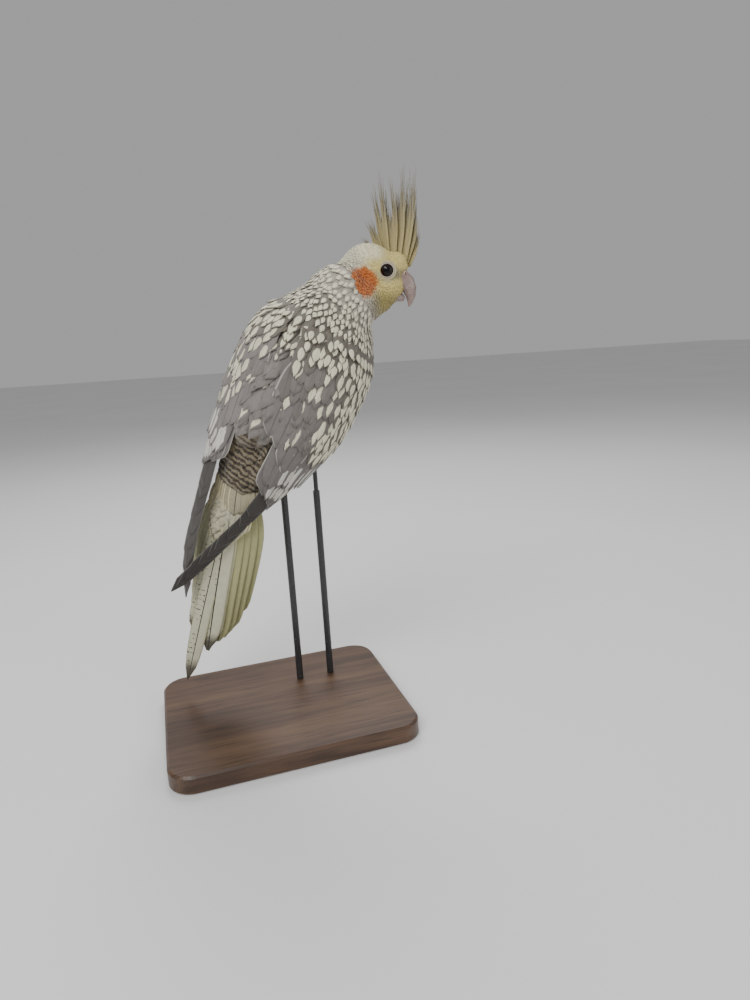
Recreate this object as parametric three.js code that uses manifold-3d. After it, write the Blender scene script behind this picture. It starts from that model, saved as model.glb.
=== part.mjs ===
// A life-size still model of a pearl cockatiel that grips a short piece of wire grid, on a plain stand.
// Millimetres, +Z up. X runs along the wire grid, the bird's back faces -Y, and the origin is the middle of
// the base's underside.
import * as THREE from "three";
import { mergeVertices } from "three/addons/utils/BufferGeometryUtils.js";
import Module from "manifold-3d";

const wasm = await Module();
wasm.setup();

const V = (x, y, z) => new THREE.Vector3(x, y, z);
const GAP = 0.3; // between two nodes that touch
const clamp01 = (x) => Math.min(1, Math.max(0, x));
const mix = (a, b, k) => a + (b - a) * k;
const smooth = (x) => clamp01(x) ** 2 * (3 - 2 * clamp01(x));

// Stand and perch
const BASE = { width: 132, depth: 108, height: 10, corner: 12, bevel: 1.2 };
const WIRE_PITCH = 19.05; // between the grid's uprights
const WIRE_R = 1.3;
const GRID_Y = 22;
const CROSS_Z = 156; // height of the cross wire that the feet grip
const CROSS_Y = GRID_Y - 2.2;
const UPRIGHT_X = [-4.75, -4.75 + WIRE_PITCH, -4.75 + 2 * WIRE_PITCH];
const UPRIGHT_Z = [126, 190];
const CROSS_X = [-15, 46];
const ROD_R = 2;
const RODS = { left: UPRIGHT_X[1], right: UPRIGHT_X[2] };

// The body's own directions: from tail to neck, to the bird's right, and out of its back
const BODY_O = V(12, -6, 180);
const ALONG = V(0.573, -0.1988, 0.7951).normalize();
const BACK = V(-0.5364, -0.8245, 0.1804).normalize();
const RIGHT = new THREE.Vector3().crossVectors(ALONG, BACK).normalize();
const body = (t, r, d) =>
  BODY_O.clone().addScaledVector(ALONG, t).addScaledVector(RIGHT, r).addScaledVector(BACK, d);

// Torso sections: place along the body, centre to the right and back, half width and half depth
const TORSO = [
  { t: -50, r: 4.3, d: 1, w: 11.5, h: 7.5 },
  { t: -42, r: 4.4, d: 1.2, w: 14.5, h: 10.5 },
  { t: -27, r: 4, d: 1.5, w: 19.5, h: 14.5 },
  { t: -5, r: 3.5, d: 3, w: 24, h: 21.5 },
  { t: 18, r: 2.5, d: 4.8, w: 25.5, h: 25.8 },
  { t: 38, r: 1.5, d: 6, w: 24, h: 25.5 },
  { t: 50, r: 1.2, d: 6.8, w: 21, h: 22.6 },
  { t: 58, r: 1.2, d: 6.8, w: 18.2, h: 19.2 },
];
const NECK_T = 58; // where the neck leaves the torso
const TAIL_T = -50; // where the tail leaves the torso

// The head's own directions: to the bill, to the crown, and to the bird's right side
const HEAD_O = V(61, -23, 240);
const FORE = V(0.945, -0.325, -0.03).normalize();
const CROWN = V(0.02, -0.03, 1).addScaledVector(FORE, -V(0.02, -0.03, 1).dot(FORE)).normalize();
const SIDE = new THREE.Vector3().crossVectors(FORE, CROWN).normalize();
const headPoint = (f, u, s) =>
  HEAD_O.clone().addScaledVector(FORE, f).addScaledVector(CROWN, u).addScaledVector(SIDE, s);

// The head's flesh is a smooth blend of round masses: centre fore and up, and its three half sizes
const HEAD_MASSES = [
  { f: -2.5, u: 2, rf: 14.5, ru: 13.2, rs: 12.4 }, // cranium
  { f: 5, u: -3.5, rf: 10.8, ru: 12, rs: 10.8 }, // cheeks and jaw
  { f: 10.8, u: 3.6, rf: 6.6, ru: 7.8, rs: 6.9 }, // forehead
  { f: -9, u: -5, rf: 12, ru: 13, rs: 12.2 }, // nape
];
const EYE = { f: 6.4, u: 1.2, s: 8.1, r: 3.7 };
const NOSTRIL = { f: 15.9, u: -0.2, s: 3.9, r: 1.1 };
const LID = { f: 6.4, u: 1.2, s: 6.6, r: 4.9 }; // the ring of lid that stands round each eye

// Flat feather widths are half widths
const VANE_EDGE = 0.5;
const VANE_MIDDLE = 0.8;

// Solids

// A closed solid from points and triangles, turned round if its faces point inwards
function closed(positions, triangles) {
  const make = (triVerts) =>
    new wasm.Manifold(
      new wasm.Mesh({
        numProp: 3,
        vertProperties: new Float32Array(positions),
        triVerts: new Uint32Array(triVerts),
      })
    );
  const made = make(triangles);
  if (made.volume() > 0) return made;
  const turned = Array.from(triangles);
  for (let i = 0; i < turned.length; i += 3) [turned[i + 1], turned[i + 2]] = [turned[i + 2], turned[i + 1]];
  return make(turned);
}

function solid(geometry) {
  const bare = geometry.index ? geometry.toNonIndexed() : geometry.clone();
  for (const name of Object.keys(bare.attributes)) {
    if (name !== "position") bare.deleteAttribute(name);
  }
  const merged = mergeVertices(bare, 1e-4);
  return closed(merged.attributes.position.array, merged.index.array);
}

function geometryOf(manifold) {
  const mesh = manifold.getMesh();
  const geometry = new THREE.BufferGeometry();
  geometry.setAttribute("position", new THREE.BufferAttribute(new Float32Array(mesh.vertProperties), 3));
  geometry.setIndex(Array.from(mesh.triVerts));
  return geometry;
}

const joined = (pieces) => pieces.reduce((sum, piece) => sum.add(piece));

function largest(manifold) {
  const parts = manifold.decompose();
  return parts.reduce((best, part) => (part.volume() > best.volume() ? part : best));
}

// A closed skin over rings of equal length, with flat or pointed ends
function loft(rings) {
  const n = rings[0].length;
  const positions = rings.flat().flatMap((p) => [p.x, p.y, p.z]);
  const faces = [];
  for (let i = 0; i + 1 < rings.length; i++) {
    for (let j = 0; j < n; j++) {
      const a = i * n + j;
      const b = i * n + ((j + 1) % n);
      faces.push(a, b, b + n, a, b + n, a + n);
    }
  }
  const last = (rings.length - 1) * n;
  for (const [start, turn] of [[0, 1], [last, -1]]) {
    const centre = positions.length / 3;
    const middle = rings[start / n].reduce((s, p) => s.add(p), V(0, 0, 0)).divideScalar(n);
    positions.push(middle.x, middle.y, middle.z);
    for (let j = 0; j < n; j++) {
      const edge = [start + j, start + ((j + 1) % n)];
      faces.push(...(turn > 0 ? [edge[1], edge[0], centre] : [edge[0], edge[1], centre]));
    }
  }
  const geometry = new THREE.BufferGeometry();
  geometry.setAttribute("position", new THREE.Float32BufferAttribute(positions, 3));
  geometry.setIndex(faces);
  return geometry;
}

// An oval ring round a centre, a being the first half axis and b the second
function oval(centre, a, b, count = 24) {
  return Array.from({ length: count }, (_, i) => {
    const angle = (i / count) * 2 * Math.PI;
    return centre.clone().addScaledVector(a, Math.cos(angle)).addScaledVector(b, Math.sin(angle));
  });
}

// A round limb through points with radii
function limb(points, radii, count = 10, fine = 2) {
  const curve = new THREE.CatmullRomCurve3(points);
  const steps = (points.length - 1) * fine;
  const rings = [];
  for (let i = 0; i <= steps; i++) {
    const k = i / steps;
    const along = curve.getTangent(k).normalize();
    const a = Math.abs(along.x) < 0.8 ? V(1, 0, 0) : V(0, 1, 0);
    a.addScaledVector(along, -a.dot(along)).normalize();
    const b = new THREE.Vector3().crossVectors(along, a);
    const at = k * (radii.length - 1);
    const r = mix(radii[Math.floor(at)], radii[Math.min(radii.length - 1, Math.floor(at) + 1)], at % 1);
    rings.push(oval(curve.getPoint(k), a.multiplyScalar(r), b.multiplyScalar(r), count));
  }
  return solid(loft(rings));
}

// A feather: a thin, slightly arched plate along points, each with its normal and half width.
// Both faces are split into triangles alike.
function vane(stations, { edge = VANE_EDGE, middle = VANE_MIDDLE, camber = 0.12 } = {}) {
  const rings = stations.map(({ p, n, w }, i) => {
    const before = stations[Math.max(0, i - 1)].p;
    const after = stations[Math.min(stations.length - 1, i + 1)].p;
    const along = after.clone().sub(before).normalize();
    const up = n.clone().addScaledVector(along, -n.dot(along)).normalize();
    const side = new THREE.Vector3().crossVectors(along, up);
    const at = (x, z) => p.clone().addScaledVector(side, x).addScaledVector(up, z);
    const arch = w * camber;
    return [
      at(-w, edge / 2), at(-w, -edge / 2), at(0, arch - middle / 2),
      at(w, -edge / 2), at(w, edge / 2), at(0, arch + middle / 2),
    ];
  });
  const positions = rings.flat().flatMap((p) => [p.x, p.y, p.z]);
  const faces = [];
  const n = 6;
  const SAME_WAY = [0, 0, 1, 0, 1, 1]; // which diagonal each side takes, alike above and below
  for (let i = 0; i + 1 < rings.length; i++) {
    for (let j = 0; j < n; j++) {
      const a = i * n + j;
      const b = i * n + ((j + 1) % n);
      faces.push(...(SAME_WAY[j] ? [a, b, a + n, b, b + n, a + n] : [a, b, b + n, a, b + n, a + n]));
    }
  }
  const last = (rings.length - 1) * n;
  const CAP = [[0, 1, 2], [0, 2, 5], [2, 3, 5], [3, 4, 5]];
  for (const [a, b, c] of CAP) {
    faces.push(c, b, a);
    faces.push(last + a, last + b, last + c);
  }
  return closed(positions, faces);
}

// How a feather widens from its root and rounds off at its tip, 0 to 1 along it
const bladeWidth = (k, point = 0.2) => {
  const root = mix(0.55, 1, smooth(k / 0.35));
  const tip = k < 1 - point ? 1 : Math.sqrt(Math.max(0, 1 - ((k - 1 + point) / point) ** 2));
  return root * Math.max(0.25, tip);
};

// Torso, neck and head

function torsoRing(section, grow) {
  return oval(
    body(section.t, section.r, section.d),
    RIGHT.clone().multiplyScalar(section.w + grow),
    BACK.clone().multiplyScalar(section.h + grow)
  );
}

function sectionAt(t) {
  const above = TORSO.findIndex((s) => s.t >= t);
  const i = above < 0 ? TORSO.length - 2 : Math.max(0, above - 1);
  const curve = (key) => {
    const a = TORSO[i];
    const b = TORSO[i + 1];
    const k = (t - a.t) / (b.t - a.t);
    const before = TORSO[Math.max(0, i - 1)];
    const after = TORSO[Math.min(TORSO.length - 1, i + 2)];
    const slopeA = ((b[key] - before[key]) / (b.t - before.t)) * (b.t - a.t);
    const slopeB = ((after[key] - a[key]) / (after.t - a.t)) * (b.t - a.t);
    return (
      (2 * k ** 3 - 3 * k ** 2 + 1) * a[key] + (k ** 3 - 2 * k ** 2 + k) * slopeA +
      (3 * k ** 2 - 2 * k ** 3) * b[key] + (k ** 3 - k ** 2) * slopeB
    );
  };
  return { t, r: curve("r"), d: curve("d"), w: curve("w"), h: curve("h") };
}

const torsoSolid = (grow = 0, steps = 16) =>
  solid(
    loft(
      Array.from({ length: steps + 1 }, (_, i) =>
        torsoRing(sectionAt(mix(TAIL_T - grow, NECK_T + grow, i / steps)), grow)
      )
    )
  );

// Depth of a point in the blend of the head's masses: below zero inside
function headField(f, u, s) {
  const SHARPNESS = 0.55;
  const sum = HEAD_MASSES.reduce((total, m) => {
    const q = Math.hypot((f - m.f) / m.rf, (u - m.u) / m.ru, s / m.rs);
    const depth = (q - 1) * Math.min(m.rf, m.ru, m.rs);
    return total + Math.exp(-depth * SHARPNESS);
  }, 0);
  return -Math.log(sum) / SHARPNESS;
}

function headSolid(grow = 0, rows = 12, columns = 18) {
  const reach = (df, du, ds) => {
    let near = 0;
    let far = 40;
    for (let i = 0; i < 30; i++) {
      const middle = (near + far) / 2;
      if (headField(df * middle, du * middle, ds * middle) < grow) near = middle;
      else far = middle;
    }
    return near;
  };
  const rings = [];
  const POLE = 0.06; // the first ring's angle from the pole
  for (let i = 0; i <= rows; i++) {
    const tilt = mix(POLE, Math.PI - POLE, i / rows);
    const ring = [];
    for (let j = 0; j < columns; j++) {
      const turn = (j / columns) * 2 * Math.PI;
      const df = -Math.cos(tilt);
      const du = Math.sin(tilt) * Math.cos(turn);
      const ds = Math.sin(tilt) * Math.sin(turn);
      const far = reach(df, du, ds);
      ring.push(headPoint(df * far, du * far, ds * far));
    }
    rings.push(ring);
  }
  return solid(loft(rings));
}

function neckSolid(grow = 0) {
  const foot = sectionAt(NECK_T);
  const from = body(NECK_T + GAP - grow, foot.r, foot.d);
  const to = headPoint(-4, -2, 0);
  const a = RIGHT.clone();
  const steps = 6;
  const rings = [];
  for (let i = 0; i <= steps; i++) {
    const k = i / steps;
    const centre = from.clone().lerp(to, k).addScaledVector(BACK, 3 * Math.sin(Math.PI * k));
    const along = ALONG.clone().lerp(CROWN, 0.5 * k).normalize();
    const side = a.clone().addScaledVector(along, -a.dot(along)).normalize();
    const out = new THREE.Vector3().crossVectors(along, side).negate();
    const w = mix(foot.w, 12, smooth(k)) + grow;
    const h = mix(foot.h, 12, smooth(k)) + grow;
    rings.push(oval(centre, side.multiplyScalar(w), out.multiplyScalar(-h)));
  }
  return solid(loft(rings));
}

const ball = (centre, r, rings = 16) => {
  const geometry = new THREE.SphereGeometry(r, rings * 2, rings);
  geometry.translate(centre.x, centre.y, centre.z);
  return solid(geometry);
};

// Bill: sections along a bent path in the head's middle plane, with half height and half width
function billSolid(path) {
  const rings = path.map(({ f, u, h, w }, i) => {
    const before = path[Math.max(0, i - 1)];
    const after = path[Math.min(path.length - 1, i + 1)];
    const along = [after.f - before.f, after.u - before.u];
    const length = Math.hypot(...along);
    const up = FORE.clone().multiplyScalar(-along[1] / length).addScaledVector(CROWN, along[0] / length);
    return oval(headPoint(f, u, 0), SIDE.clone().multiplyScalar(w), up.multiplyScalar(h), 14);
  });
  return solid(loft(rings));
}
const UPPER_BILL = [
  { f: 8, u: -1.5, h: 5.2, w: 5.2 },
  { f: 13.2, u: -2.2, h: 5, w: 4.9 },
  { f: 16, u: -4.4, h: 4.4, w: 4.3 },
  { f: 17.5, u: -7.4, h: 3.5, w: 3.4 },
  { f: 17.9, u: -10.6, h: 2.5, w: 2.4 },
  { f: 17.6, u: -13.4, h: 1.4, w: 1.3 },
  { f: 17, u: -15.6, h: 0.4, w: 0.5 },
];
const LOWER_BILL = [
  { f: 6.5, u: -8.6, h: 3.2, w: 4.4 },
  { f: 10.5, u: -10, h: 3, w: 4 },
  { f: 13.2, u: -11.3, h: 2.2, w: 3 },
  { f: 14.8, u: -12, h: 1, w: 1.6 },
];
const grown = (path, by) => path.map((s) => ({ ...s, h: s.h + by, w: s.w + by }));

// Crest: feathers fan from the forehead and crown; tips are fore and up in the head's frame
const CREST = { count: 12, rootFore: [15.2, 5], rootUp: [6.5, 12.5], width: 1.6 };
const CREST_TIPS = [
  [22.5, 30], [20.5, 38], [21.5, 46.5], [19, 42], [15.5, 47], [14.5, 39], [11, 45], [12, 34],
  [3.5, 44.5], [8, 33], [0, 38.5], [3.5, 28], [-4, 27.5], [-1, 20],
];
function crestVanes() {
  return Array.from({ length: CREST.count }, (_, i) => {
    const k = i / (CREST.count - 1);
    const at = k * (CREST_TIPS.length - 1);
    const a = CREST_TIPS[Math.floor(at)];
    const b = CREST_TIPS[Math.min(CREST_TIPS.length - 1, Math.ceil(at))];
    const tip = [mix(a[0], b[0], at % 1), mix(a[1], b[1], at % 1)];
    const sway = ((i % 3) - 1) * 2.4;
    const root = [mix(...CREST.rootFore, k), mix(...CREST.rootUp, Math.sqrt(k))];
    const bow = mix(5.5, -0.5, k);
    const stations = [];
    const steps = 4;
    for (let j = 0; j <= steps; j++) {
      const m = j / steps;
      const f = mix(root[0], tip[0], m) + bow * Math.sin(Math.PI * Math.min(1, m * 1.05)) * 0.8;
      const u = mix(root[1] - 2.5, tip[1], m);
      const s = sway * smooth(m) + ((i % 3) - 1) * 1.1;
      const w = CREST.width * (m < 0.25 ? mix(0.7, 1, m / 0.25) : 1 - 0.85 * ((m - 0.25) / 0.75) ** 1.2);
      const n = SIDE.clone().addScaledVector(FORE, 0.25 * ((i % 2) - 0.5));
      stations.push({ p: headPoint(f, u, s), n, w });
    }
    return vane(stations, { edge: 0.45, middle: 0.75, camber: 0.15 });
  });
}

// Wings. Each lies on a curved sheet between its leading edge and its edge along the back, in body
// directions: along, right, back.
const WING_EDGES = {
  right: {
    lead: [
      [56, 18, -9], [43, 26, -15], [20, 31, -17], [-4, 32, -17.5],
      [-32, 26, -14], [-55, 21, -9], [-93, 15.5, -2], [-119, 8, 4.5],
    ],
    back: [
      [58, 5, 27], [44, 5, 32], [24, 8, 32.5], [-2, 10.5, 26],
      [-30, 13.5, 16.5], [-55, 14, 9], [-88, 8.8, 7], [-120, 6.5, 6.5],
    ],
    bulge: [6, 10, 12, 12, 8, 4, 1.5, 0.3],
  },
  left: {
    lead: [
      [56, -16, -9], [43, -24.5, -12], [20, -28.5, -9], [-4, -27, -5],
      [-32, -21, -1], [-55, -14, 1], [-93, -2.5, 0], [-121, 12.5, -5],
    ],
    back: [
      [58, -3, 28], [44, -5, 32], [24, -5.5, 32], [-2, -1.5, 26],
      [-30, 0, 17], [-55, 2, 10.5], [-93, 8, 2.5], [-121, 15.5, -4],
    ],
    bulge: [6, 9.5, 11, 10, 7, 4, 1.5, 0.3],
  },
};

function wingSheet(side) {
  const edges = WING_EDGES[side];
  const lead = new THREE.CatmullRomCurve3(edges.lead.map((p) => body(...p)));
  const back = new THREE.CatmullRomCurve3(edges.back.map((p) => body(...p)));
  const sign = side === "right" ? -1 : 1;
  const point = (u, v, lift = 0) => {
    const a = lead.getPoint(clamp01(u));
    const b = back.getPoint(clamp01(u));
    const across = b.clone().sub(a);
    const along = lead.getTangent(clamp01(u)).add(back.getTangent(clamp01(u))).normalize();
    const out = new THREE.Vector3().crossVectors(along, across).multiplyScalar(sign).normalize();
    const at = clamp01(u) * (edges.bulge.length - 1);
    const i = Math.min(edges.bulge.length - 2, Math.floor(at));
    const bulge = mix(edges.bulge[i], edges.bulge[i + 1], at - i);
    const rise = 4 * v * (1 - v);
    return a.lerp(b, v).addScaledVector(out, bulge * rise + lift);
  };
  const normal = (u, v) => {
    const step = 0.02;
    const du = point(u + step, v).sub(point(u - step, v));
    const dv = point(u, v + step).sub(point(u, v - step));
    return new THREE.Vector3().crossVectors(du, dv).multiplyScalar(sign).normalize();
  };
  return { point, normal };
}

// A feather along the sheet, from (u, v) root to tip, lifted off it and tilted to lap its neighbour
function sheetVane(sheet, from, to, width, lift, { steps, tilt, tip }) {
  const stations = [];
  for (let i = 0; i <= steps; i++) {
    const k = (i / steps) ** 0.75;
    const u = mix(from[0], to[0], k);
    const v = mix(from[1], to[1], k);
    const n = sheet.normal(Math.min(u, 0.97), v);
    const p = sheet.point(u, v).addScaledVector(n, mix(...lift, k));
    stations.push({ p, n, w: width * bladeWidth(k, tip) });
  }
  const along = stations[steps].p.clone().sub(stations[0].p).normalize();
  for (const station of stations) station.n.applyAxisAngle(along, tilt);
  return vane(stations);
}

// The tiers of one wing: where the first and last feather start and end on the sheet, half widths,
// and the lift at root and tip of the first and the last
const TIERS = {
  primaries: {
    count: 6, steps: 4, tilt: -0.05, tip: 0.16, width: [5.4, 5.8],
    from: [[0.44, 0.3], [0.5, 0.62]], to: [[0.995, 0.45], [0.7, 0.62]], lift: [[-1.6, 0], [-0.6, 2.6]],
  },
  secondaries: {
    count: 5, steps: 3, tilt: -0.06, tip: 0.25, width: [6.4, 7.4],
    from: [[0.3, 0.25], [0.36, 0.8]], to: [[0.63, 0.32], [0.6, 0.78]], lift: [[-1, 2], [0.2, 3]],
  },
  tertials: {
    count: 3, steps: 3, tilt: -0.05, tip: 0.3, width: [7.5, 6.5],
    from: [[0.2, 0.72], [0.26, 0.92]], to: [[0.52, 0.72], [0.5, 0.94]], lift: [[0.4, 3.3], [0.8, 3.8]],
  },
  primaryCoverts: {
    count: 3, steps: 2, tilt: -0.06, tip: 0.3, width: [5, 5],
    from: [[0.34, 0.08], [0.4, 0.3]], to: [[0.52, 0.14], [0.56, 0.34]], lift: [[0, 1.6], [0.2, 2.2]],
  },
  greaterCoverts: {
    count: 5, steps: 2, tilt: -0.06, tip: 0.35, width: [6.4, 7.2],
    from: [[0.2, 0.06], [0.22, 0.78]], to: [[0.38, 0.08], [0.4, 0.78]], lift: [[0.2, 2.4], [1, 4.2]],
  },
  medianCoverts: {
    count: 5, steps: 2, tilt: -0.05, tip: 0.4, width: [6, 6.8],
    from: [[0.11, 0.06], [0.12, 0.86]], to: [[0.25, 0.06], [0.27, 0.88]], lift: [[0.4, 2.8], [1, 4.4]],
  },
  lesserCoverts: {
    count: 4, steps: 2, tilt: -0.05, tip: 0.45, width: [6.4, 7.4],
    from: [[0.02, 0.1], [0.02, 0.88]], to: [[0.15, 0.06], [0.16, 0.9]], lift: [[-0.4, 2.6], [0.4, 3.8]],
  },
};

// A slab that follows the sheet from one place along it to another, between two heights over it
function sheetSlab(sheet, [start, end], margin, above, below) {
  const rows = 9;
  const columns = 6;
  const rings = [];
  for (let i = 0; i <= rows; i++) {
    const u = mix(start, end, i / rows);
    const outer = [];
    const inner = [];
    for (let j = 0; j <= columns; j++) {
      const v = mix(margin, 1 - margin, j / columns);
      const n = sheet.normal(u, v);
      outer.push(sheet.point(u, v).addScaledVector(n, above));
      inner.unshift(sheet.point(u, v).addScaledVector(n, -below(u, v)));
    }
    rings.push([...outer, ...inner]);
  }
  return solid(loft(rings));
}

// The wing's own thickness under its feathers: deepest at the wrist, and thin at both edges
const wingCore = (sheet) =>
  sheetSlab(sheet, [0, 0.62], 0.02, 0.4, (u, v) => mix(8, 1.6, smooth(u / 0.5)) * (0.3 + 2.8 * v * (1 - v)));

// The room that a wing's long feathers take over the tail
const wingRoom = (side) => sheetSlab(wingSheet(side), [0.5, 0.9], -0.12, 4, () => 2.4 + GAP);

function wingSolid(side) {
  const sheet = wingSheet(side);
  const sign = side === "right" ? 1 : -1;
  const pieces = [wingCore(sheet)];
  for (const tier of Object.values(TIERS)) {
    for (let i = 0; i < tier.count; i++) {
      const k = i / (tier.count - 1);
      const spot = ([a, b]) => [mix(a[0], b[0], k), mix(a[1], b[1], k)];
      pieces.push(
        sheetVane(sheet, spot(tier.from), spot(tier.to), mix(...tier.width, k), spot(tier.lift), {
          steps: tier.steps,
          tilt: tier.tilt * sign,
          tip: tier.tip,
        })
      );
    }
  }
  return largest(joined(pieces).subtract(torsoSolid(GAP)).subtract(neckSolid(GAP)).subtract(headSolid(GAP)));
}

// Tail: feathers from a flat root. Tips in the model's own millimetres, the bird's right first
const TAIL_ROOT = V(-16.5, 2.6, 133);
const TAIL_FACE = V(-0.42, -0.88, -0.12);
const TAIL_TIPS = [
  { tip: V(-18.2, 21.5, 57.5), root: 9, w: 5, bow: 6.5 },
  { tip: V(-23.5, 22.9, 49), root: 7.5, w: 5, bow: 5.5 },
  { tip: V(-27.9, 23, 44.5), root: 5.5, w: 5.2, bow: 4 },
  { tip: V(-31.3, 22.5, 43), root: 3.6, w: 5.4, bow: 2.5 },
  { tip: V(-35.3, 22.6, 42), root: 1.8, w: 5.6, bow: 1 },
  { tip: V(-37.5, 22.5, 39), root: 0.5, w: 7, bow: 0 },
  { tip: V(-50.5, 30, 20), root: -0.5, w: 5.8, bow: 0 },
  { tip: V(-44, 27.5, 50), root: -1.8, w: 5.6, bow: 0 },
  { tip: V(-42, 26.5, 59), root: -3.6, w: 5.4, bow: -0.5 },
  { tip: V(-40.5, 25, 68), root: -5.5, w: 5.2, bow: -1 },
  { tip: V(-39, 24, 77), root: -7.5, w: 5, bow: -1.5 },
  { tip: V(-37.5, 22.5, 86), root: -9, w: 5, bow: -2 },
];
const TAIL_MIDDLE = 5.5; // the central pair lies on top

function tailSolid() {
  const face = TAIL_FACE.clone().normalize();
  const pieces = TAIL_TIPS.map(({ tip, root, w, bow }, i) => {
    const across = new THREE.Vector3().crossVectors(face, V(0, 0, -1)).normalize();
    const lift = 2.6 - 0.62 * Math.abs(i - TAIL_MIDDLE) + (i % 2) * 0.1;
    const from = TAIL_ROOT.clone().addScaledVector(across, root).addScaledVector(face, lift);
    const to = tip.clone().addScaledVector(face, lift * 0.8);
    const stations = [];
    const steps = 4;
    for (let j = 0; j <= steps; j++) {
      const k = (j / steps) ** 0.8;
      const p = from.clone().lerp(to, k).addScaledVector(face, 1.6 * Math.sin(Math.PI * k));
      p.addScaledVector(across, bow * Math.sin(Math.PI * k ** 0.6));
      stations.push({ p, n: face.clone(), w: w * bladeWidth(k, 0.14) });
    }
    return vane(stations);
  });
  const foot = sectionAt(TAIL_T);
  const a = RIGHT.clone();
  const rings = [
    { p: body(TAIL_T - GAP, foot.r, foot.d), w: foot.w, h: foot.h },
    { p: V(-17.5, 2.4, 130), w: 10.5, h: 5.6 },
    { p: V(-21, 5.6, 120), w: 9, h: 3.8 },
    { p: V(-25, 8.6, 108), w: 6.5, h: 1.8 },
  ].map(({ p, w, h }) => oval(p, a.clone().multiplyScalar(w), BACK.clone().multiplyScalar(h), 16));
  pieces.push(solid(loft(rings)));
  const COVERTS = { count: 5, steps: 3, length: [26, 40], width: 5.6 };
  for (let i = 0; i < COVERTS.count; i++) {
    const k = i / (COVERTS.count - 1) - 0.5;
    const length = mix(COVERTS.length[1], COVERTS.length[0], Math.abs(k) * 2);
    const from = body(TAIL_T - 2, foot.r + k * 15, foot.d + 3 - 9 * k * k);
    const toward = TAIL_TIPS[5].tip.clone().sub(TAIL_ROOT).normalize().addScaledVector(RIGHT, k * 0.2);
    const stations = [];
    for (let j = 0; j <= COVERTS.steps; j++) {
      const m = (j / COVERTS.steps) ** 0.8;
      const p = from.clone().addScaledVector(toward, length * m);
      p.addScaledVector(face, 1.2 * Math.sin(Math.PI * m) + 0.5 * (i % 2));
      stations.push({ p, n: face.clone(), w: COVERTS.width * bladeWidth(m, 0.35) });
    }
    pieces.push(vane(stations));
  }
  return largest(joined(pieces).subtract(torsoSolid(GAP)).subtract(wingRoom("right")));
}

// Legs, feet and claws
const LEGS = {
  left: { x: UPRIGHT_X[0] + WIRE_PITCH / 2, hip: body(-14, -4, -14) },
  right: { x: UPRIGHT_X[1] + WIRE_PITCH / 2, hip: body(-10, 13, -12) },
};
const GRIP_R = WIRE_R + GAP; // the toes' inner side round the wire
const TOE_R = 1.35;
const TOES = [
  { offset: -3.3, from: 60, to: -120, r: TOE_R },
  { offset: 1.4, from: 60, to: -150, r: TOE_R },
  { offset: -1.4, from: 120, to: 265, r: TOE_R * 0.95 },
  { offset: 3.5, from: 120, to: 240, r: TOE_R * 0.9 },
];
const gripPoint = (x, degrees, radius) => {
  const a = THREE.MathUtils.degToRad(degrees);
  return V(x, CROSS_Y + Math.cos(a) * radius, CROSS_Z + Math.sin(a) * radius);
};
const ankleOf = (leg) => V(leg.x, CROSS_Y - 4.5, CROSS_Z + 12.5);

function footSolid(leg) {
  const pad = V(leg.x, CROSS_Y - 0.2, CROSS_Z + GRIP_R + 1.9);
  const pieces = [limb([ankleOf(leg), V(leg.x, CROSS_Y - 1.6, CROSS_Z + 7.4), pad], [1.7, 1.6, 2.1])];
  for (const toe of TOES) {
    const stops = [0, 0.25, 0.5, 0.75, 1].map((k) => {
      const x = leg.x + toe.offset * smooth(k * 2.5);
      return gripPoint(x, mix(90, toe.to, k), GRIP_R + toe.r + 0.05);
    });
    pieces.push(limb(stops, [toe.r * 1.1, toe.r * 1.05, toe.r, toe.r * 0.9, toe.r * 0.75], 6, 1));
  }
  return largest(joined(pieces).subtract(legSolid(leg, GAP)));
}

function clawSolid(leg, toe) {
  const x = leg.x + toe.offset;
  const turn = Math.sign(toe.to - 90);
  const start = toe.to + turn * 12;
  const points = [0, 1, 2].map((i) => gripPoint(x, start + turn * i * 17, GRIP_R + toe.r + 0.1 + i * 0.5));
  return limb(points, [0.85, 0.6, 0.3], 6);
}

function legSolid(leg, grow = 0) {
  const ankle = ankleOf(leg);
  const knee = leg.hip.clone().lerp(ankle, 0.5).add(V(0, 1, -1.5));
  const end = ankle.clone().addScaledVector(ankle.clone().sub(knee).normalize(), grow);
  return limb([leg.hip, knee, end], [9 + grow, 6.2 + grow, 2.7 + grow], 14);
}

// Stand and perch solids

const upright = (x, y, r, from, to) => {
  const geometry = new THREE.CylinderGeometry(r, r, to - from, 16);
  geometry.rotateX(Math.PI / 2);
  geometry.translate(x, y, (from + to) / 2);
  return solid(geometry);
};

function gridSolid() {
  const cross = new THREE.CylinderGeometry(WIRE_R, WIRE_R, CROSS_X[1] - CROSS_X[0], 16);
  cross.rotateZ(Math.PI / 2);
  cross.translate((CROSS_X[0] + CROSS_X[1]) / 2, CROSS_Y, CROSS_Z);
  return joined([solid(cross), ...UPRIGHT_X.map((x) => upright(x, GRID_Y, WIRE_R, ...UPRIGHT_Z))]);
}

function baseGeometry() {
  const { width, depth, height, corner, bevel } = BASE;
  const outline = new THREE.Shape();
  const x = width / 2 - bevel;
  const y = depth / 2 - bevel;
  outline.moveTo(-x + corner, -y);
  outline.lineTo(x - corner, -y);
  outline.absarc(x - corner, -y + corner, corner, -Math.PI / 2, 0);
  outline.absarc(x - corner, y - corner, corner, 0, Math.PI / 2);
  outline.absarc(-x + corner, y - corner, corner, Math.PI / 2, Math.PI);
  outline.absarc(-x + corner, -y + corner, corner, Math.PI, 1.5 * Math.PI);
  const geometry = new THREE.ExtrudeGeometry(outline, {
    depth: height - 2 * bevel,
    bevelThickness: bevel,
    bevelSize: bevel,
    bevelSegments: 1,
    curveSegments: 5,
  });
  geometry.translate(0, 0, bevel);
  return geometry;
}

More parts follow.
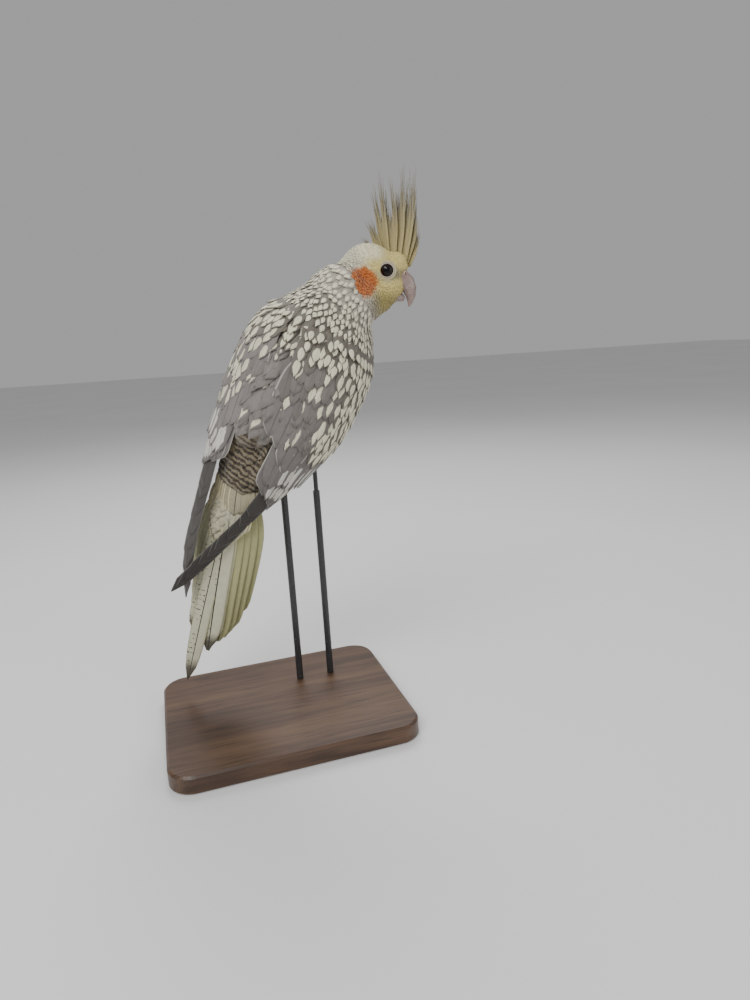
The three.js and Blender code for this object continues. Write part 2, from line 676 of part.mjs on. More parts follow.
// Assembly

const COLOURS = {
  wood: ["#3b2a20", 0.5, 0],
  steel: ["#17181a", 0.45, 0.7],
  plumage: ["#d9d3b4", 0.85, 0],
  wing: ["#9a9292", 0.8, 0],
  tail: ["#dcd79a", 0.8, 0],
  face: ["#e6dc9a", 0.85, 0],
  horn: ["#c9a9a2", 0.4, 0],
  eye: ["#0a0908", 0.08, 0],
  skin: ["#b79a94", 0.6, 0],
};
const group = new THREE.Group();

function add(name, shape, finish) {
  const geometry = shape.isBufferGeometry ? shape : geometryOf(shape);
  const [color, roughness, metalness] = COLOURS[finish];
  const mesh = new THREE.Mesh(geometry, new THREE.MeshStandardMaterial({ color, roughness, metalness }));
  mesh.name = name;
  group.add(mesh);
}

add("stand_base", baseGeometry(), "wood");
for (const [side, x] of Object.entries(RODS)) {
  add(`stand_rod_${side}`, upright(x, GRID_Y, ROD_R, BASE.height + GAP, UPRIGHT_Z[0] - GAP), "steel");
}
add("perch_grid", gridSolid(), "steel");

const torso = torsoSolid();
const eyes = { right: headPoint(EYE.f, EYE.u, EYE.s), left: headPoint(EYE.f, EYE.u, -EYE.s) };
const upper = billSolid(UPPER_BILL);
const lower = billSolid(LOWER_BILL);
const headMass = headSolid();
const headGrown = headSolid(GAP);
const billPocket = joined([billSolid(grown(UPPER_BILL, GAP)), billSolid(grown(LOWER_BILL, GAP))]);
const eyePockets = joined(Object.values(eyes).map((eye) => ball(eye, EYE.r + GAP, 8)));
const nostrils = joined(
  [1, -1].map((turn) => ball(headPoint(NOSTRIL.f, NOSTRIL.u, NOSTRIL.s * turn), NOSTRIL.r, 5))
);

add("torso", torso, "plumage");
add("neck", largest(neckSolid().subtract(headGrown)), "plumage");
const lids = [1, -1].map((turn) => ball(headPoint(LID.f, LID.u, LID.s * turn), LID.r, 8));
const headCut = joined([headMass, ...lids, ...crestVanes()]).subtract(torsoSolid(GAP));
add("head", largest(headCut.subtract(billPocket).subtract(eyePockets).subtract(nostrils)), "face");
for (const [side, eye] of Object.entries(eyes)) add(`eye_${side}`, ball(eye, EYE.r, 8), "eye");
add("bill_upper", largest(upper.subtract(nostrils)), "horn");
add("bill_lower", largest(lower.subtract(billSolid(grown(UPPER_BILL, GAP)))), "horn");
for (const side of ["left", "right"]) add(`wing_${side}`, wingSolid(side), "wing");
add("tail", tailSolid(), "tail");

for (const [side, leg] of Object.entries(LEGS)) {
  const foot = footSolid(leg);
  const claws = TOES.map((toe) => clawSolid(leg, toe));
  add(`leg_${side}`, largest(legSolid(leg).subtract(torsoSolid(GAP))), "plumage");
  add(`foot_${side}`, foot, "skin");
  claws.forEach((claw, i) => add(`claw_${side}_${i + 1}`, claw, "horn"));
}

export default group;
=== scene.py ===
import math
import bpy
import numpy as np
from mathutils import Matrix, Vector
from mathutils.bvhtree import BVHTree
from mathutils.kdtree import KDTree


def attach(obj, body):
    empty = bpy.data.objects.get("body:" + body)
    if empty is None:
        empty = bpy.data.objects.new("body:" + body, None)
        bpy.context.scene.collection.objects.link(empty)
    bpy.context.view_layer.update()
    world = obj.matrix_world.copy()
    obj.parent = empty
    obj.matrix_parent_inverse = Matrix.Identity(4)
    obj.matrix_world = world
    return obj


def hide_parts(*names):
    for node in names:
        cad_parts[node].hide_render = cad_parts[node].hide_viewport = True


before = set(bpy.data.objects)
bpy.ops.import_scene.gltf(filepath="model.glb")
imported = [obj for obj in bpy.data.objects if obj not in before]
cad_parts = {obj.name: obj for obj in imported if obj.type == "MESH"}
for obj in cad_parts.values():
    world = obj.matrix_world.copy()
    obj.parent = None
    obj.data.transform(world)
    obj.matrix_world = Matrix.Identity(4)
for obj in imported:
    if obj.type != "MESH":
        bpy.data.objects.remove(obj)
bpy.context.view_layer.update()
mm = 0.001
rng = np.random.default_rng(11)


def unit(v):
    v = np.asarray(v, float)
    return v / np.maximum(np.linalg.norm(v, axis=-1, keepdims=True), 1e-12)


def smoothStep(x):
    x = np.clip(x, 0, 1)
    return x * x * (3 - 2 * x)


def blendOf(a, b, k):
    return a + (b - a) * k


# ---- the bird's own directions, as in the construction: millimetres in, metres out
bodyAxes = {"origin": (12, -6, 180), "along": unit((0.573, -0.1988, 0.7951)), "back": unit((-0.5364, -0.8245, 0.1804))}
bodyAxes["right"] = unit(np.cross(bodyAxes["along"], bodyAxes["back"]))
headAxes = {"origin": (61, -23, 240), "fore": unit((0.945, -0.325, -0.03))}
crownGuess = np.array((0.02, -0.03, 1.0))
headAxes["crown"] = unit(crownGuess - crownGuess.dot(headAxes["fore"]) * headAxes["fore"])
headAxes["side"] = np.cross(headAxes["fore"], headAxes["crown"])


def place(axes, names, a, b, c):
    a, b, c = (np.asarray(x, float)[..., None] for x in (a, b, c))
    spot = np.array(axes["origin"]) + a * axes[names[0]] + b * axes[names[1]] + c * axes[names[2]]
    return spot * mm


def bodyPoint(t, r, d):
    return place(bodyAxes, ("along", "right", "back"), t, r, d)


def headPoint(f, u, s):
    return place(headAxes, ("fore", "crown", "side"), f, u, s)


def inAxes(points, axes, names):
    off = points / mm - np.array(axes["origin"])
    return [off @ axes[name] for name in names]


def inBody(points):
    return inAxes(points, bodyAxes, ("along", "right", "back"))


def inHead(points):
    return inAxes(points, headAxes, ("fore", "crown", "side"))


# ---- camera, light and floor
view = {
    "place": (-0.0475, -0.353, 0.2084),
    "right": (0.9496, -0.3084, -0.0562),
    "up": (0.1232, 0.2025, 0.9715),
    "forward": (0.2883, 0.9294, -0.2303),
    "lens": 24.17,
}
bpy.ops.object.select_all(action="DESELECT")
bpy.ops.object.camera_add()
camera = bpy.context.object
camera.data.lens = view["lens"]
camera.data.clip_start = 0.01
cameraTurn = Matrix((view["right"], view["up"], [-x for x in view["forward"]])).transposed().to_4x4()
camera.matrix_world = Matrix.Translation(view["place"]) @ cameraTurn
bpy.context.scene.camera = camera

studio = {
    "key": {"place": (-0.55, -0.75, 0.95), "size": 0.7, "power": 12},
    "fill": {"place": (0.85, -0.7, 0.45), "size": 0.8, "power": 2.6},
    "top": {"place": (0.15, 0.55, 0.95), "size": 0.6, "power": 6.5},
}
for lightName, light in studio.items():
    bpy.ops.object.light_add(type="AREA", location=light["place"])
    lamp = bpy.context.object
    lamp.name = lightName + "_light"
    lamp.data.size = light["size"]
    lamp.data.energy = light["power"]
    lamp.rotation_euler = (Vector((0, 0, 0.17)) - Vector(light["place"])).to_track_quat("-Z", "Y").to_euler()
world = bpy.context.scene.world or bpy.data.worlds.new("studio")
bpy.context.scene.world = world
world.use_nodes = True
sky = world.node_tree.nodes.get("Background") or world.node_tree.nodes.new("ShaderNodeBackground")
sky.inputs["Color"].default_value = (0.80, 0.80, 0.81, 1)
sky.inputs["Strength"].default_value = 0.48
print("stage: camera and lights")


# ---- material helpers
def newMaterial(name, rough, specular=0.4, sheen=0.0, metallic=0.0, coat=0.0):
    material = bpy.data.materials.new(name)
    material.use_nodes = True
    tree = material.node_tree
    shader = tree.nodes["Principled BSDF"]
    shader.inputs["Roughness"].default_value = rough
    shader.inputs["Specular IOR Level"].default_value = specular
    shader.inputs["Metallic"].default_value = metallic
    shader.inputs["Sheen Weight"].default_value = sheen
    shader.inputs["Coat Weight"].default_value = coat
    return material, tree, shader


def addNode(tree, kind, **settings):
    node = tree.nodes.new(kind)
    for key, value in settings.items():
        setattr(node, key, value)
    return node


def feed(tree, socket, value):
    if isinstance(value, bpy.types.NodeSocket):
        tree.links.new(value, socket)
    else:
        socket.default_value = value


def calc(tree, operation, a, b=0.0, clamp=False):
    node = addNode(tree, "ShaderNodeMath", operation=operation, use_clamp=clamp)
    feed(tree, node.inputs[0], a)
    feed(tree, node.inputs[1], b)
    return node.outputs[0]


def mixColour(tree, factor, a, b, way="MIX"):
    node = addNode(tree, "ShaderNodeMix", data_type="RGBA", blend_type=way)
    feed(tree, node.inputs["Factor"], factor)
    feed(tree, node.inputs["A"], a)
    feed(tree, node.inputs["B"], b)
    return node.outputs["Result"]


def noiseOf(tree, where, scale, detail=3.0, distort=0.0):
    node = addNode(tree, "ShaderNodeTexNoise")
    feed(tree, node.inputs["Vector"], where)
    node.inputs["Scale"].default_value = scale
    node.inputs["Detail"].default_value = detail
    node.inputs["Distortion"].default_value = distort
    return node.outputs["Fac"]


def bumpOf(tree, shader, height, strength, distance):
    node = addNode(tree, "ShaderNodeBump")
    node.inputs["Strength"].default_value = strength
    node.inputs["Distance"].default_value = distance
    feed(tree, node.inputs["Height"], height)
    tree.links.new(node.outputs["Normal"], shader.inputs["Normal"])


def rampOf(tree, value, stops):
    node = addNode(tree, "ShaderNodeValToRGB")
    ramp = node.color_ramp
    while len(ramp.elements) < len(stops):
        ramp.elements.new(0.5)
    for element, (at, colour) in zip(ramp.elements, stops):
        element.position = at
        element.color = (*colour, 1)
    feed(tree, node.inputs["Fac"], value)
    return node.outputs["Color"]


# ---- one feather material: its colours and marks come from each feather's own attributes
def featherMaterial(name, rough, sheen, barbScale, barColour, shaftColour, broken=False, wavy=False):
    material, tree, shader = newMaterial(name, rough, specular=0.22, sheen=sheen)
    shader.inputs["Sheen Roughness"].default_value = 0.5
    ground = addNode(tree, "ShaderNodeAttribute", attribute_name="ground").outputs["Color"]
    markNode = addNode(tree, "ShaderNodeAttribute", attribute_name="mark")
    mark, spotPlace = markNode.outputs["Color"], markNode.outputs["Alpha"]
    pattern = addNode(tree, "ShaderNodeAttribute", attribute_name="pattern")
    parts = addNode(tree, "ShaderNodeSeparateColor")
    tree.links.new(pattern.outputs["Color"], parts.inputs["Color"])
    spotSize, edgeWidth, bars = parts.outputs
    shaft = pattern.outputs["Alpha"]
    vane = addNode(tree, "ShaderNodeSeparateXYZ")
    tree.links.new(addNode(tree, "ShaderNodeUVMap", uv_map="vane").outputs["UV"], vane.inputs[0])
    x = calc(tree, "SUBTRACT", calc(tree, "MULTIPLY", vane.outputs[0], 2.0), 1.0)
    y = vane.outputs[1]
    across = calc(tree, "ABSOLUTE", x)
    barb = addNode(tree, "ShaderNodeSeparateXYZ")
    barbMap = addNode(tree, "ShaderNodeUVMap", uv_map="barb").outputs["UV"]
    tree.links.new(barbMap, barb.inputs[0])
    spread = noiseOf(tree, barbMap, 3.0, 2.0)
    # the oval spot toward the tip
    beside = calc(tree, "ADD", x, calc(tree, "MULTIPLY", calc(tree, "SUBTRACT", 0.5, spotPlace), 2.0))
    spotX = calc(tree, "MULTIPLY", calc(tree, "ABSOLUTE", beside), 1.75)
    spotY = calc(tree, "MULTIPLY", calc(tree, "SUBTRACT", y, 0.81), 4.0)
    reach = calc(tree, "SQRT", calc(tree, "ADD", calc(tree, "POWER", spotX, 2.0), calc(tree, "MULTIPLY", spotY, spotY)))
    reach = calc(tree, "ADD", reach, calc(tree, "MULTIPLY", calc(tree, "SUBTRACT", spread, 0.5), 0.95))
    spot = calc(tree, "MULTIPLY", calc(tree, "SUBTRACT", spotSize, reach), 6.0, clamp=True)
    # the pale margin of each web
    margin = calc(tree, "SUBTRACT", across, calc(tree, "SUBTRACT", 1.0, edgeWidth))
    margin = calc(tree, "MULTIPLY", margin, 14.0, clamp=True)
    paint = mixColour(tree, calc(tree, "MAXIMUM", spot, margin), ground, mark)
    # cross bars, broken up
    wave = calc(tree, "SINE", calc(tree, "ADD", calc(tree, "MULTIPLY", barb.outputs[1], 19.0),
                                   calc(tree, "MULTIPLY", spread, 5.0)))
    barMask = calc(tree, "MULTIPLY", calc(tree, "ADD", wave, -0.05), 3.0, clamp=True)
    if wavy:  # across the whole back, from feather to feather
        local = addNode(tree, "ShaderNodeTexCoord").outputs["Object"]
        depth = addNode(tree, "ShaderNodeVectorMath", operation="DOT_PRODUCT")
        tree.links.new(local, depth.inputs[0])
        depth.inputs[1].default_value = bodyAxes["along"]
        curl = calc(tree, "MULTIPLY", noiseOf(tree, local, 230.0, 3.0), 10.0)
        wave = calc(tree, "SINE", calc(tree, "ADD", calc(tree, "MULTIPLY", depth.outputs["Value"], 2200.0), curl))
        barMask = calc(tree, "MULTIPLY", calc(tree, "ADD", wave, 0.2), 2.6, clamp=True)
    if broken:  # only short dashes, on one web
        patches = noiseOf(tree, barbMap, 7.0, 1.0)
        barMask = calc(tree, "MULTIPLY", calc(tree, "SUBTRACT", wave, 0.6), 4.0, clamp=True)
        dash = calc(tree, "MULTIPLY", calc(tree, "SUBTRACT", patches, 0.52), 14.0, clamp=True)
        web = calc(tree, "MULTIPLY", x, 9.0, clamp=True)
        barMask = calc(tree, "MULTIPLY", barMask, calc(tree, "MULTIPLY", dash, web))
    paint = mixColour(tree, calc(tree, "MULTIPLY", barMask, bars), paint, (*barColour, 1))
    # shaft and barbs
    quill = calc(tree, "MULTIPLY", calc(tree, "SUBTRACT", 0.07, across), 30.0, clamp=True)
    paint = mixColour(tree, calc(tree, "MULTIPLY", quill, shaft), paint, (*shaftColour, 1))
    slant = calc(tree, "ADD", barb.outputs[1], calc(tree, "MULTIPLY", calc(tree, "ABSOLUTE", barb.outputs[0]), -0.9))
    line = calc(tree, "SINE", calc(tree, "MULTIPLY", slant, barbScale))
    grain = calc(tree, "ADD", calc(tree, "MULTIPLY", line, 0.055), calc(tree, "MULTIPLY", spread, 0.22))
    tone = addNode(tree, "ShaderNodeCombineColor")
    level = calc(tree, "ADD", grain, 0.87)
    for socket in tone.inputs[:3]:
        tree.links.new(level, socket)
    paint = mixColour(tree, 1.0, paint, tone.outputs[0], "MULTIPLY")
    tree.links.new(paint, shader.inputs["Base Color"])
    height = calc(tree, "ADD", calc(tree, "MULTIPLY", line, 0.5), calc(tree, "MULTIPLY", quill, 1.2))
    bumpOf(tree, shader, height, 0.35, 0.00012)
    return material


feathers = {
    "plumage": featherMaterial("soft feathers", 0.85, 0.2, 55.0, (0.055, 0.042, 0.03), (0.3, 0.28, 0.24), wavy=True),
    "wing": featherMaterial("wing feathers", 0.7, 0.1, 60.0, (0.1, 0.08, 0.06), (0.06, 0.05, 0.045)),
    "tail": featherMaterial("tail feathers", 0.65, 0.08, 60.0, (0.05, 0.042, 0.035), (0.02, 0.017, 0.015), True),
    "face": featherMaterial("face feathers", 0.88, 0.25, 50.0, (0.2, 0.18, 0.13), (0.3, 0.26, 0.14)),
}


# ---- feathers as thin closed vanes, many in one mesh
def meshFromArrays(name, points, quads):
    mesh = bpy.data.meshes.new(name)
    mesh.vertices.add(len(points))
    mesh.vertices.foreach_set("co", np.ascontiguousarray(points, np.float32).ravel())
    mesh.loops.add(quads.size)
    mesh.loops.foreach_set("vertex_index", np.ascontiguousarray(quads, np.int32).ravel())
    mesh.polygons.add(len(quads))
    mesh.polygons.foreach_set("loop_start", np.arange(0, quads.size, 4, dtype=np.int32))
    mesh.update(calc_edges=True)
    return mesh


def vaneFaces(rows, columns):
    n = columns + 1
    top = lambda i, j: i * n + j
    under = lambda i, j: rows * n + i * n + j
    quads = []
    for i in range(rows - 1):
        for j in range(columns):
            quads.append((top(i, j), top(i, j + 1), top(i + 1, j + 1), top(i + 1, j)))
            quads.append((under(i, j), under(i + 1, j), under(i + 1, j + 1), under(i, j + 1)))
        quads.append((top(i, 0), top(i + 1, 0), under(i + 1, 0), under(i, 0)))
        quads.append((top(i, columns), under(i, columns), under(i + 1, columns), top(i + 1, columns)))
    last = rows - 1
    for j in range(columns):
        quads.append((top(0, j), under(0, j), under(0, j + 1), top(0, j + 1)))
        quads.append((top(last, j), top(last, j + 1), under(last, j + 1), under(last, j)))
    return np.array(quads)


def featherPiece(name, slotName, centre, normal, width, look, roots, columns=4, camber=0.18, ragged=0.0, thick=0.16):
    count, rows = width.shape
    along = np.gradient(centre, axis=1)
    along = unit(along)
    normal = unit(normal - (normal * along).sum(-1, keepdims=True) * along)
    side = np.cross(along, normal)
    x = np.linspace(-1, 1, columns + 1)
    k = np.linspace(0, 1, rows)
    length = np.linalg.norm(centre[:, -1] - centre[:, 0], axis=-1)
    shape = (count, rows, columns + 1)
    arch = -camber * width[..., None] * (x ** 2)
    jag = rng.uniform(0, 1, (count, 1, columns + 1)) * ragged * (k ** 3)[None, :, None] * length[:, None, None]
    spot = (
        centre[:, :, None]
        + side[:, :, None] * (width[..., None] * x)[..., None]
        + normal[:, :, None] * arch[..., None]
        - along[:, :, None] * jag[..., None]
    )
    half = thick * mm / 2 * (1 - 0.6 * np.abs(x))[None, None, :, None] * np.ones(shape)[..., None]
    points = np.concatenate([spot + normal[:, :, None] * half, spot - normal[:, :, None] * half], axis=1)
    perVane = 2 * rows * (columns + 1)
    points = points.reshape(count * perVane, 3)
    faces = vaneFaces(rows, columns)
    quads = (faces[None] + (np.arange(count) * perVane)[:, None, None]).reshape(-1, 4)
    mesh = meshFromArrays(name, points, quads)
    # where each point is on its own vane
    u = np.broadcast_to((x + 1) / 2, shape)
    v = np.broadcast_to(k[None, :, None], shape)
    alongMm = np.cumsum(np.linalg.norm(np.diff(centre, axis=1, prepend=centre[:, :1]), axis=-1), axis=1) / mm
    barbU = (width[..., None] * x) / mm / 10
    barbV = np.broadcast_to(alongMm[..., None] / 10, shape) + rng.uniform(0, 9, (count, 1, 1))
    rootU, rootV = roots
    patch = 0.0015
    bakeU = rootU[:, None, None] + (u * 2 - 1) * patch
    bakeV = rootV[:, None, None] + (v * 2 - 1) * patch
    for mapName, a, b in (("OFBake", bakeU, bakeV), ("vane", u, v), ("barb", barbU, barbV)):
        both = np.stack([np.broadcast_to(a, shape), np.broadcast_to(b, shape)], -1)
        both = np.concatenate([both, both], axis=1).reshape(count * perVane, 2)
        layer = mesh.uv_layers.new(name=mapName)
        layer.data.foreach_set("uv", both[quads.ravel()].astype(np.float32).ravel())
    for key in ("ground", "mark", "pattern"):
        value = np.asarray(look[key], float)
        if value.ndim == 2:
            value = value[:, None].repeat(rows, axis=1)
        if value.shape[-1] == 3:
            value = np.concatenate([value, np.full((*value.shape[:-1], 1), 0.5)], -1)
        value = value[:, :, None].repeat(columns + 1, axis=2)
        value = np.concatenate([value, value], axis=1).reshape(count * perVane, 4)
        layer = mesh.attributes.new(key, "FLOAT_COLOR", "POINT")
        layer.data.foreach_set("color", value.astype(np.float32).ravel())
    piece = bpy.data.objects.new(name, mesh)
    bpy.context.collection.objects.link(piece)
    mesh.materials.append(feathers[slotName])
    mesh.shade_smooth()
    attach(piece, "root")
    print(f"stage: {name}, {count} feathers, {2 * len(quads)} triangles")
    return piece


def bladeShape(k, tip, root=0.55):
    rise = blendOf(root, 1, smoothStep(k / 0.35))
    point = np.where(k < 1 - tip, 1, np.sqrt(np.clip(1 - ((k - 1 + tip) / tip) ** 2, 0, 1)))
    return rise * np.maximum(0.12, point)


# ---- the skin: every fleshy solid and the thickness of both wings, made one surface
wingEdges = {
    "right": {
        "lead": [(56, 18, -9), (43, 26, -15), (20, 31, -17), (-4, 32, -17.5),
                 (-32, 26, -14), (-55, 21, -9), (-93, 15.5, -2), (-119, 8, 4.5)],
        "back": [(58, 5, 27), (44, 5, 32), (24, 8, 32.5), (-2, 10.5, 26),
                 (-30, 13.5, 16.5), (-55, 14, 9), (-88, 8.8, 7), (-120, 6.5, 6.5)],
        "bulge": [6, 10, 12, 12, 8, 4, 1.5, 0.3],
        "turn": -1,
    },
    "left": {
        "lead": [(56, -16, -9), (43, -24.5, -12), (20, -28.5, -9), (-4, -27, -5),
                 (-32, -21, -1), (-55, -14, 1), (-93, -2.5, 0), (-121, 12.5, -5)],
        "back": [(58, -3, 28), (44, -5, 32), (24, -5.5, 32), (-2, -1.5, 26),
                 (-30, 0, 17), (-55, 2, 10.5), (-93, 8, 2.5), (-121, 15.5, -4)],
        "bulge": [6, 9.5, 11, 10, 7, 4, 1.5, 0.3],
        "turn": 1,
    },
}


def alongCurve(points, t):
    points = np.asarray(points, float)
    t = np.clip(t, 0, 1) * (len(points) - 1)
    i = np.clip(np.floor(t).astype(int), 0, len(points) - 2)
    k = (t - i)[..., None]
    a, b = points[i], points[i + 1]
    before = points[np.clip(i - 1, 0, None)]
    after = points[np.clip(i + 2, None, len(points) - 1)]
    slopeA, slopeB = (b - before) / 2, (after - a) / 2
    return (
        (2 * k ** 3 - 3 * k ** 2 + 1) * a + (k ** 3 - 2 * k ** 2 + k) * slopeA
        + (3 * k ** 2 - 2 * k ** 3) * b + (k ** 3 - k ** 2) * slopeB
    )


def wingSheet(side, u, v, lift=0.0):
    edges = wingEdges[side]
    u, v, lift = np.broadcast_arrays(np.asarray(u, float), np.asarray(v, float), np.asarray(lift, float))
    lead = bodyPoint(*np.array(edges["lead"], float).T)
    back = bodyPoint(*np.array(edges["back"], float).T)
    a, b = alongCurve(lead, u), alongCurve(back, u)
    step = 0.01
    slope = alongCurve((lead + back) / 2, u + step) - alongCurve((lead + back) / 2, u - step)
    out = unit(np.cross(unit(slope), b - a)) * edges["turn"]
    bulge = np.interp(np.clip(u, 0, 1), np.linspace(0, 1, len(edges["bulge"])), edges["bulge"])
    rise = bulge * 4 * v * (1 - v)
    return a + (b - a) * v[..., None] + out * ((rise + lift) * mm)[..., None]


def wingNormal(side, u, v):
    step = 0.02
    u = np.clip(u, step, 1 - step)
    du = wingSheet(side, u + step, v) - wingSheet(side, u - step, v)
    dv = wingSheet(side, u, v + step) - wingSheet(side, u, v - step)
    return unit(np.cross(du, dv)) * wingEdges[side]["turn"]


def addBall(centre, axes, radii, segments=32):
    bpy.ops.mesh.primitive_uv_sphere_add(segments=segments, ring_count=segments // 2, radius=1)
    ball = bpy.context.object
    columns = [Vector(axis) * radius * mm for axis, radius in zip(axes, radii)]
    turn = Matrix(columns).transposed().to_4x4()
    ball.matrix_world = Matrix.Translation(Vector(centre)) @ turn
    bpy.ops.object.transform_apply(location=True, rotation=True, scale=True)
    return ball


def apply(piece, kind, name, **settings):
    modifier = piece.modifiers.new(name, kind)
    for key, value in settings.items():
        setattr(modifier, key, value)
    bpy.ops.object.select_all(action="DESELECT")
    piece.select_set(True)
    bpy.context.view_layer.objects.active = piece
    bpy.ops.object.modifier_apply(modifier=name)


skinForm = {
    "voxel": 1.0 * mm,
    "smoothing": 6,
    "coatDepth": 0.7 * mm,
    "headMasses": [(-2.5, 2, 14.5, 13.2, 12.4), (5, -3.5, 10.8, 12, 10.8), (10.8, 3.6, 6.6, 7.8, 6.9), (-9, -5, 12, 13, 12.2),
                   (1.5, -11, 8.6, 8.2, 8.2), (-4.5, -14, 9.5, 9, 9.5), (-11, 0.5, 9, 8.6, 9)],
    "lid": {"place": (6.4, 1.2, 6.6), "radius": 4.9},
    "eye": {"place": (6.4, 1.2, 8.1), "radius": 3.7},
    "joints": [((60, 1.2, 7), (18, 18, 15)), ((16, 2.5, 19), (13, 12.5, 38)), ((40, 1, 20), (14, 13, 22)), ((26, -3, 20), (9, 13, 22)), ((64, 0, 14), (12, 12, 12)), ((50, 1.2, 5.6), (20, 20, 18)), ((-14, -4, -14), (9, 9, 9)), ((-10, 13, -12), (9, 9, 9))],
}
headTriple = [headAxes[key] for key in ("fore", "crown", "side")]
bodyTriple = [bodyAxes[key] for key in ("right", "back", "along")]
flesh = []
for f, u, *radii in skinForm["headMasses"]:
    flesh.append(addBall(headPoint(f, u, 0), headTriple, radii))
for turn in (1, -1):
    f, u, s = skinForm["lid"]["place"]
    flesh.append(addBall(headPoint(f, u, s * turn), headTriple, [skinForm["lid"]["radius"]] * 3))
flesh.append(addBall(headPoint(11, -3.5, 0), headTriple, (5.5, 6.5, 5.6)))
for spot, radii in skinForm["joints"]:
    flesh.append(addBall(bodyPoint(*spot), bodyTriple, radii))
tailRun = unit(np.array((-25, 8.6, 108.0)) - np.array((-16.5, 2.6, 133.0)))
tailSide = unit(np.cross(tailRun, (-0.42, -0.88, -0.12)))
flesh.append(addBall(np.array((-19, 4.2, 124)) * mm, (tailSide, np.cross(tailRun, tailSide), tailRun), (9.5, 4.5, 20)))
for nodeName in ("torso", "neck", "leg_left", "leg_right"):
    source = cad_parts[nodeName]
    copy = bpy.data.objects.new(nodeName + "_flesh", source.data.copy())
    bpy.context.collection.objects.link(copy)
    flesh.append(copy)
for side in wingEdges:
    rows, columns = 20, 12
    u = np.linspace(0, 0.62, rows)[:, None]
    v = np.linspace(0.08, 0.98, columns + 1)[None]
    depth = blendOf(8, 1.6, smoothStep(u / 0.5)) * (0.3 + 2.8 * v * (1 - v))
    outer = wingSheet(side, u, v, -0.6).reshape(-1, 3)
    inner = wingSheet(side, u, v, -depth - 0.6).reshape(-1, 3)
    faces = vaneFaces(rows, columns)
    if wingEdges[side]["turn"] > 0:
        faces = faces[:, ::-1]
    bed = bpy.data.objects.new(f"wing_{side}_bed", meshFromArrays("bed", np.concatenate([outer, inner]), faces))
    bpy.context.collection.objects.link(bed)
    flesh.append(bed)
bpy.ops.object.select_all(action="DESELECT")
for part in flesh:
    part.select_set(True)
skin = flesh[0]
bpy.context.view_layer.objects.active = skin
bpy.ops.object.join()
skin.name = "skin"
apply(skin, "REMESH", "one surface", mode="VOXEL", voxel_size=skinForm["voxel"])
apply(skin, "SMOOTH", "soften", factor=0.5, iterations=skinForm["smoothing"])
apply(skin, "DISPLACE", "coat depth", strength=-skinForm["coatDepth"], mid_level=0.0)
for turn in (1, -1):
    f, u, s = skinForm["eye"]["place"]
    pocket = addBall(headPoint(f, u, s * turn), headTriple, [skinForm["eye"]["radius"] + 0.25] * 3, 48)
    apply(skin, "BOOLEAN", "eye pocket", operation="DIFFERENCE", object=pocket)
    bpy.data.objects.remove(pocket)
bpy.ops.object.shade_smooth()
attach(skin, "root")
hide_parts("torso", "neck", "head", "leg_left", "leg_right")
material, tree, shader = newMaterial("skin under the feathers", 0.8, 0.2)
local = addNode(tree, "ShaderNodeTexCoord").outputs["Object"]
down = noiseOf(tree, local, 700.0, 4.0)
tint = rampOf(tree, down, [(0.3, (0.78, 0.77, 0.76)), (0.7, (1.0, 1.0, 1.0))])
ground = addNode(tree, "ShaderNodeAttribute", attribute_name="ground").outputs["Color"]
tree.links.new(mixColour(tree, 1.0, ground, tint, "MULTIPLY"), shader.inputs["Base Color"])
bumpOf(tree, shader, down, 0.5, 0.0006)
skin.data.materials.clear()
skin.data.materials.append(material)
skinTree = BVHTree.FromObject(skin, bpy.context.evaluated_depsgraph_get())
print(f"stage: skin, {len(skin.data.polygons)} faces")


# ---- where small feathers grow: points spread evenly over the skin
def spreadPoints(spacing, keep, seed):
    draw = np.random.default_rng(seed)
    mesh = skin.data
    mesh.calc_loop_triangles()
    count = len(mesh.loop_triangles)
    corners = np.empty(count * 3, np.int32)
    mesh.loop_triangles.foreach_get("vertices", corners)
    spots = np.empty(len(mesh.vertices) * 3, np.float32)
    mesh.vertices.foreach_get("co", spots)
    triangles = spots.reshape(-1, 3)[corners.reshape(-1, 3)].astype(float)
    triangles = triangles[keep(triangles.mean(axis=1))]
    area = np.linalg.norm(np.cross(triangles[:, 1] - triangles[:, 0], triangles[:, 2] - triangles[:, 0]), axis=1) / 2
    tries = int(area.sum() / (spacing * mm) ** 2 * 9)
    pick = draw.choice(len(triangles), tries, p=area / area.sum())
    a, b = draw.random((2, tries))
    over = a + b > 1
    a[over], b[over] = 1 - a[over], 1 - b[over]
    chosen = triangles[pick]
    points = chosen[:, 0] + a[:, None] * (chosen[:, 1] - chosen[:, 0]) + b[:, None] * (chosen[:, 2] - chosen[:, 0])
    cell = spacing * mm
    taken = {}
    kept = []
    for point in points:
        key = tuple((point // cell).astype(int))
        near = False
        for dx in (-1, 0, 1):
            for dy in (-1, 0, 1):
                for dz in (-1, 0, 1):
                    for other in taken.get((key[0] + dx, key[1] + dy, key[2] + dz), ()):
                        if (other[0] - point[0]) ** 2 + (other[1] - point[1]) ** 2 + (other[2] - point[2]) ** 2 < cell ** 2:
                            near = True
        if not near:
            taken.setdefault(key, []).append(point)
            kept.append(point)
    return np.array(kept)


def onSkin(points):
    spots, normals = np.empty_like(points), np.empty_like(points)
    for i, point in enumerate(points):
        spot, normal, _, _ = skinTree.find_nearest(Vector(point))
        spots[i], normals[i] = spot, normal
    return spots, normals


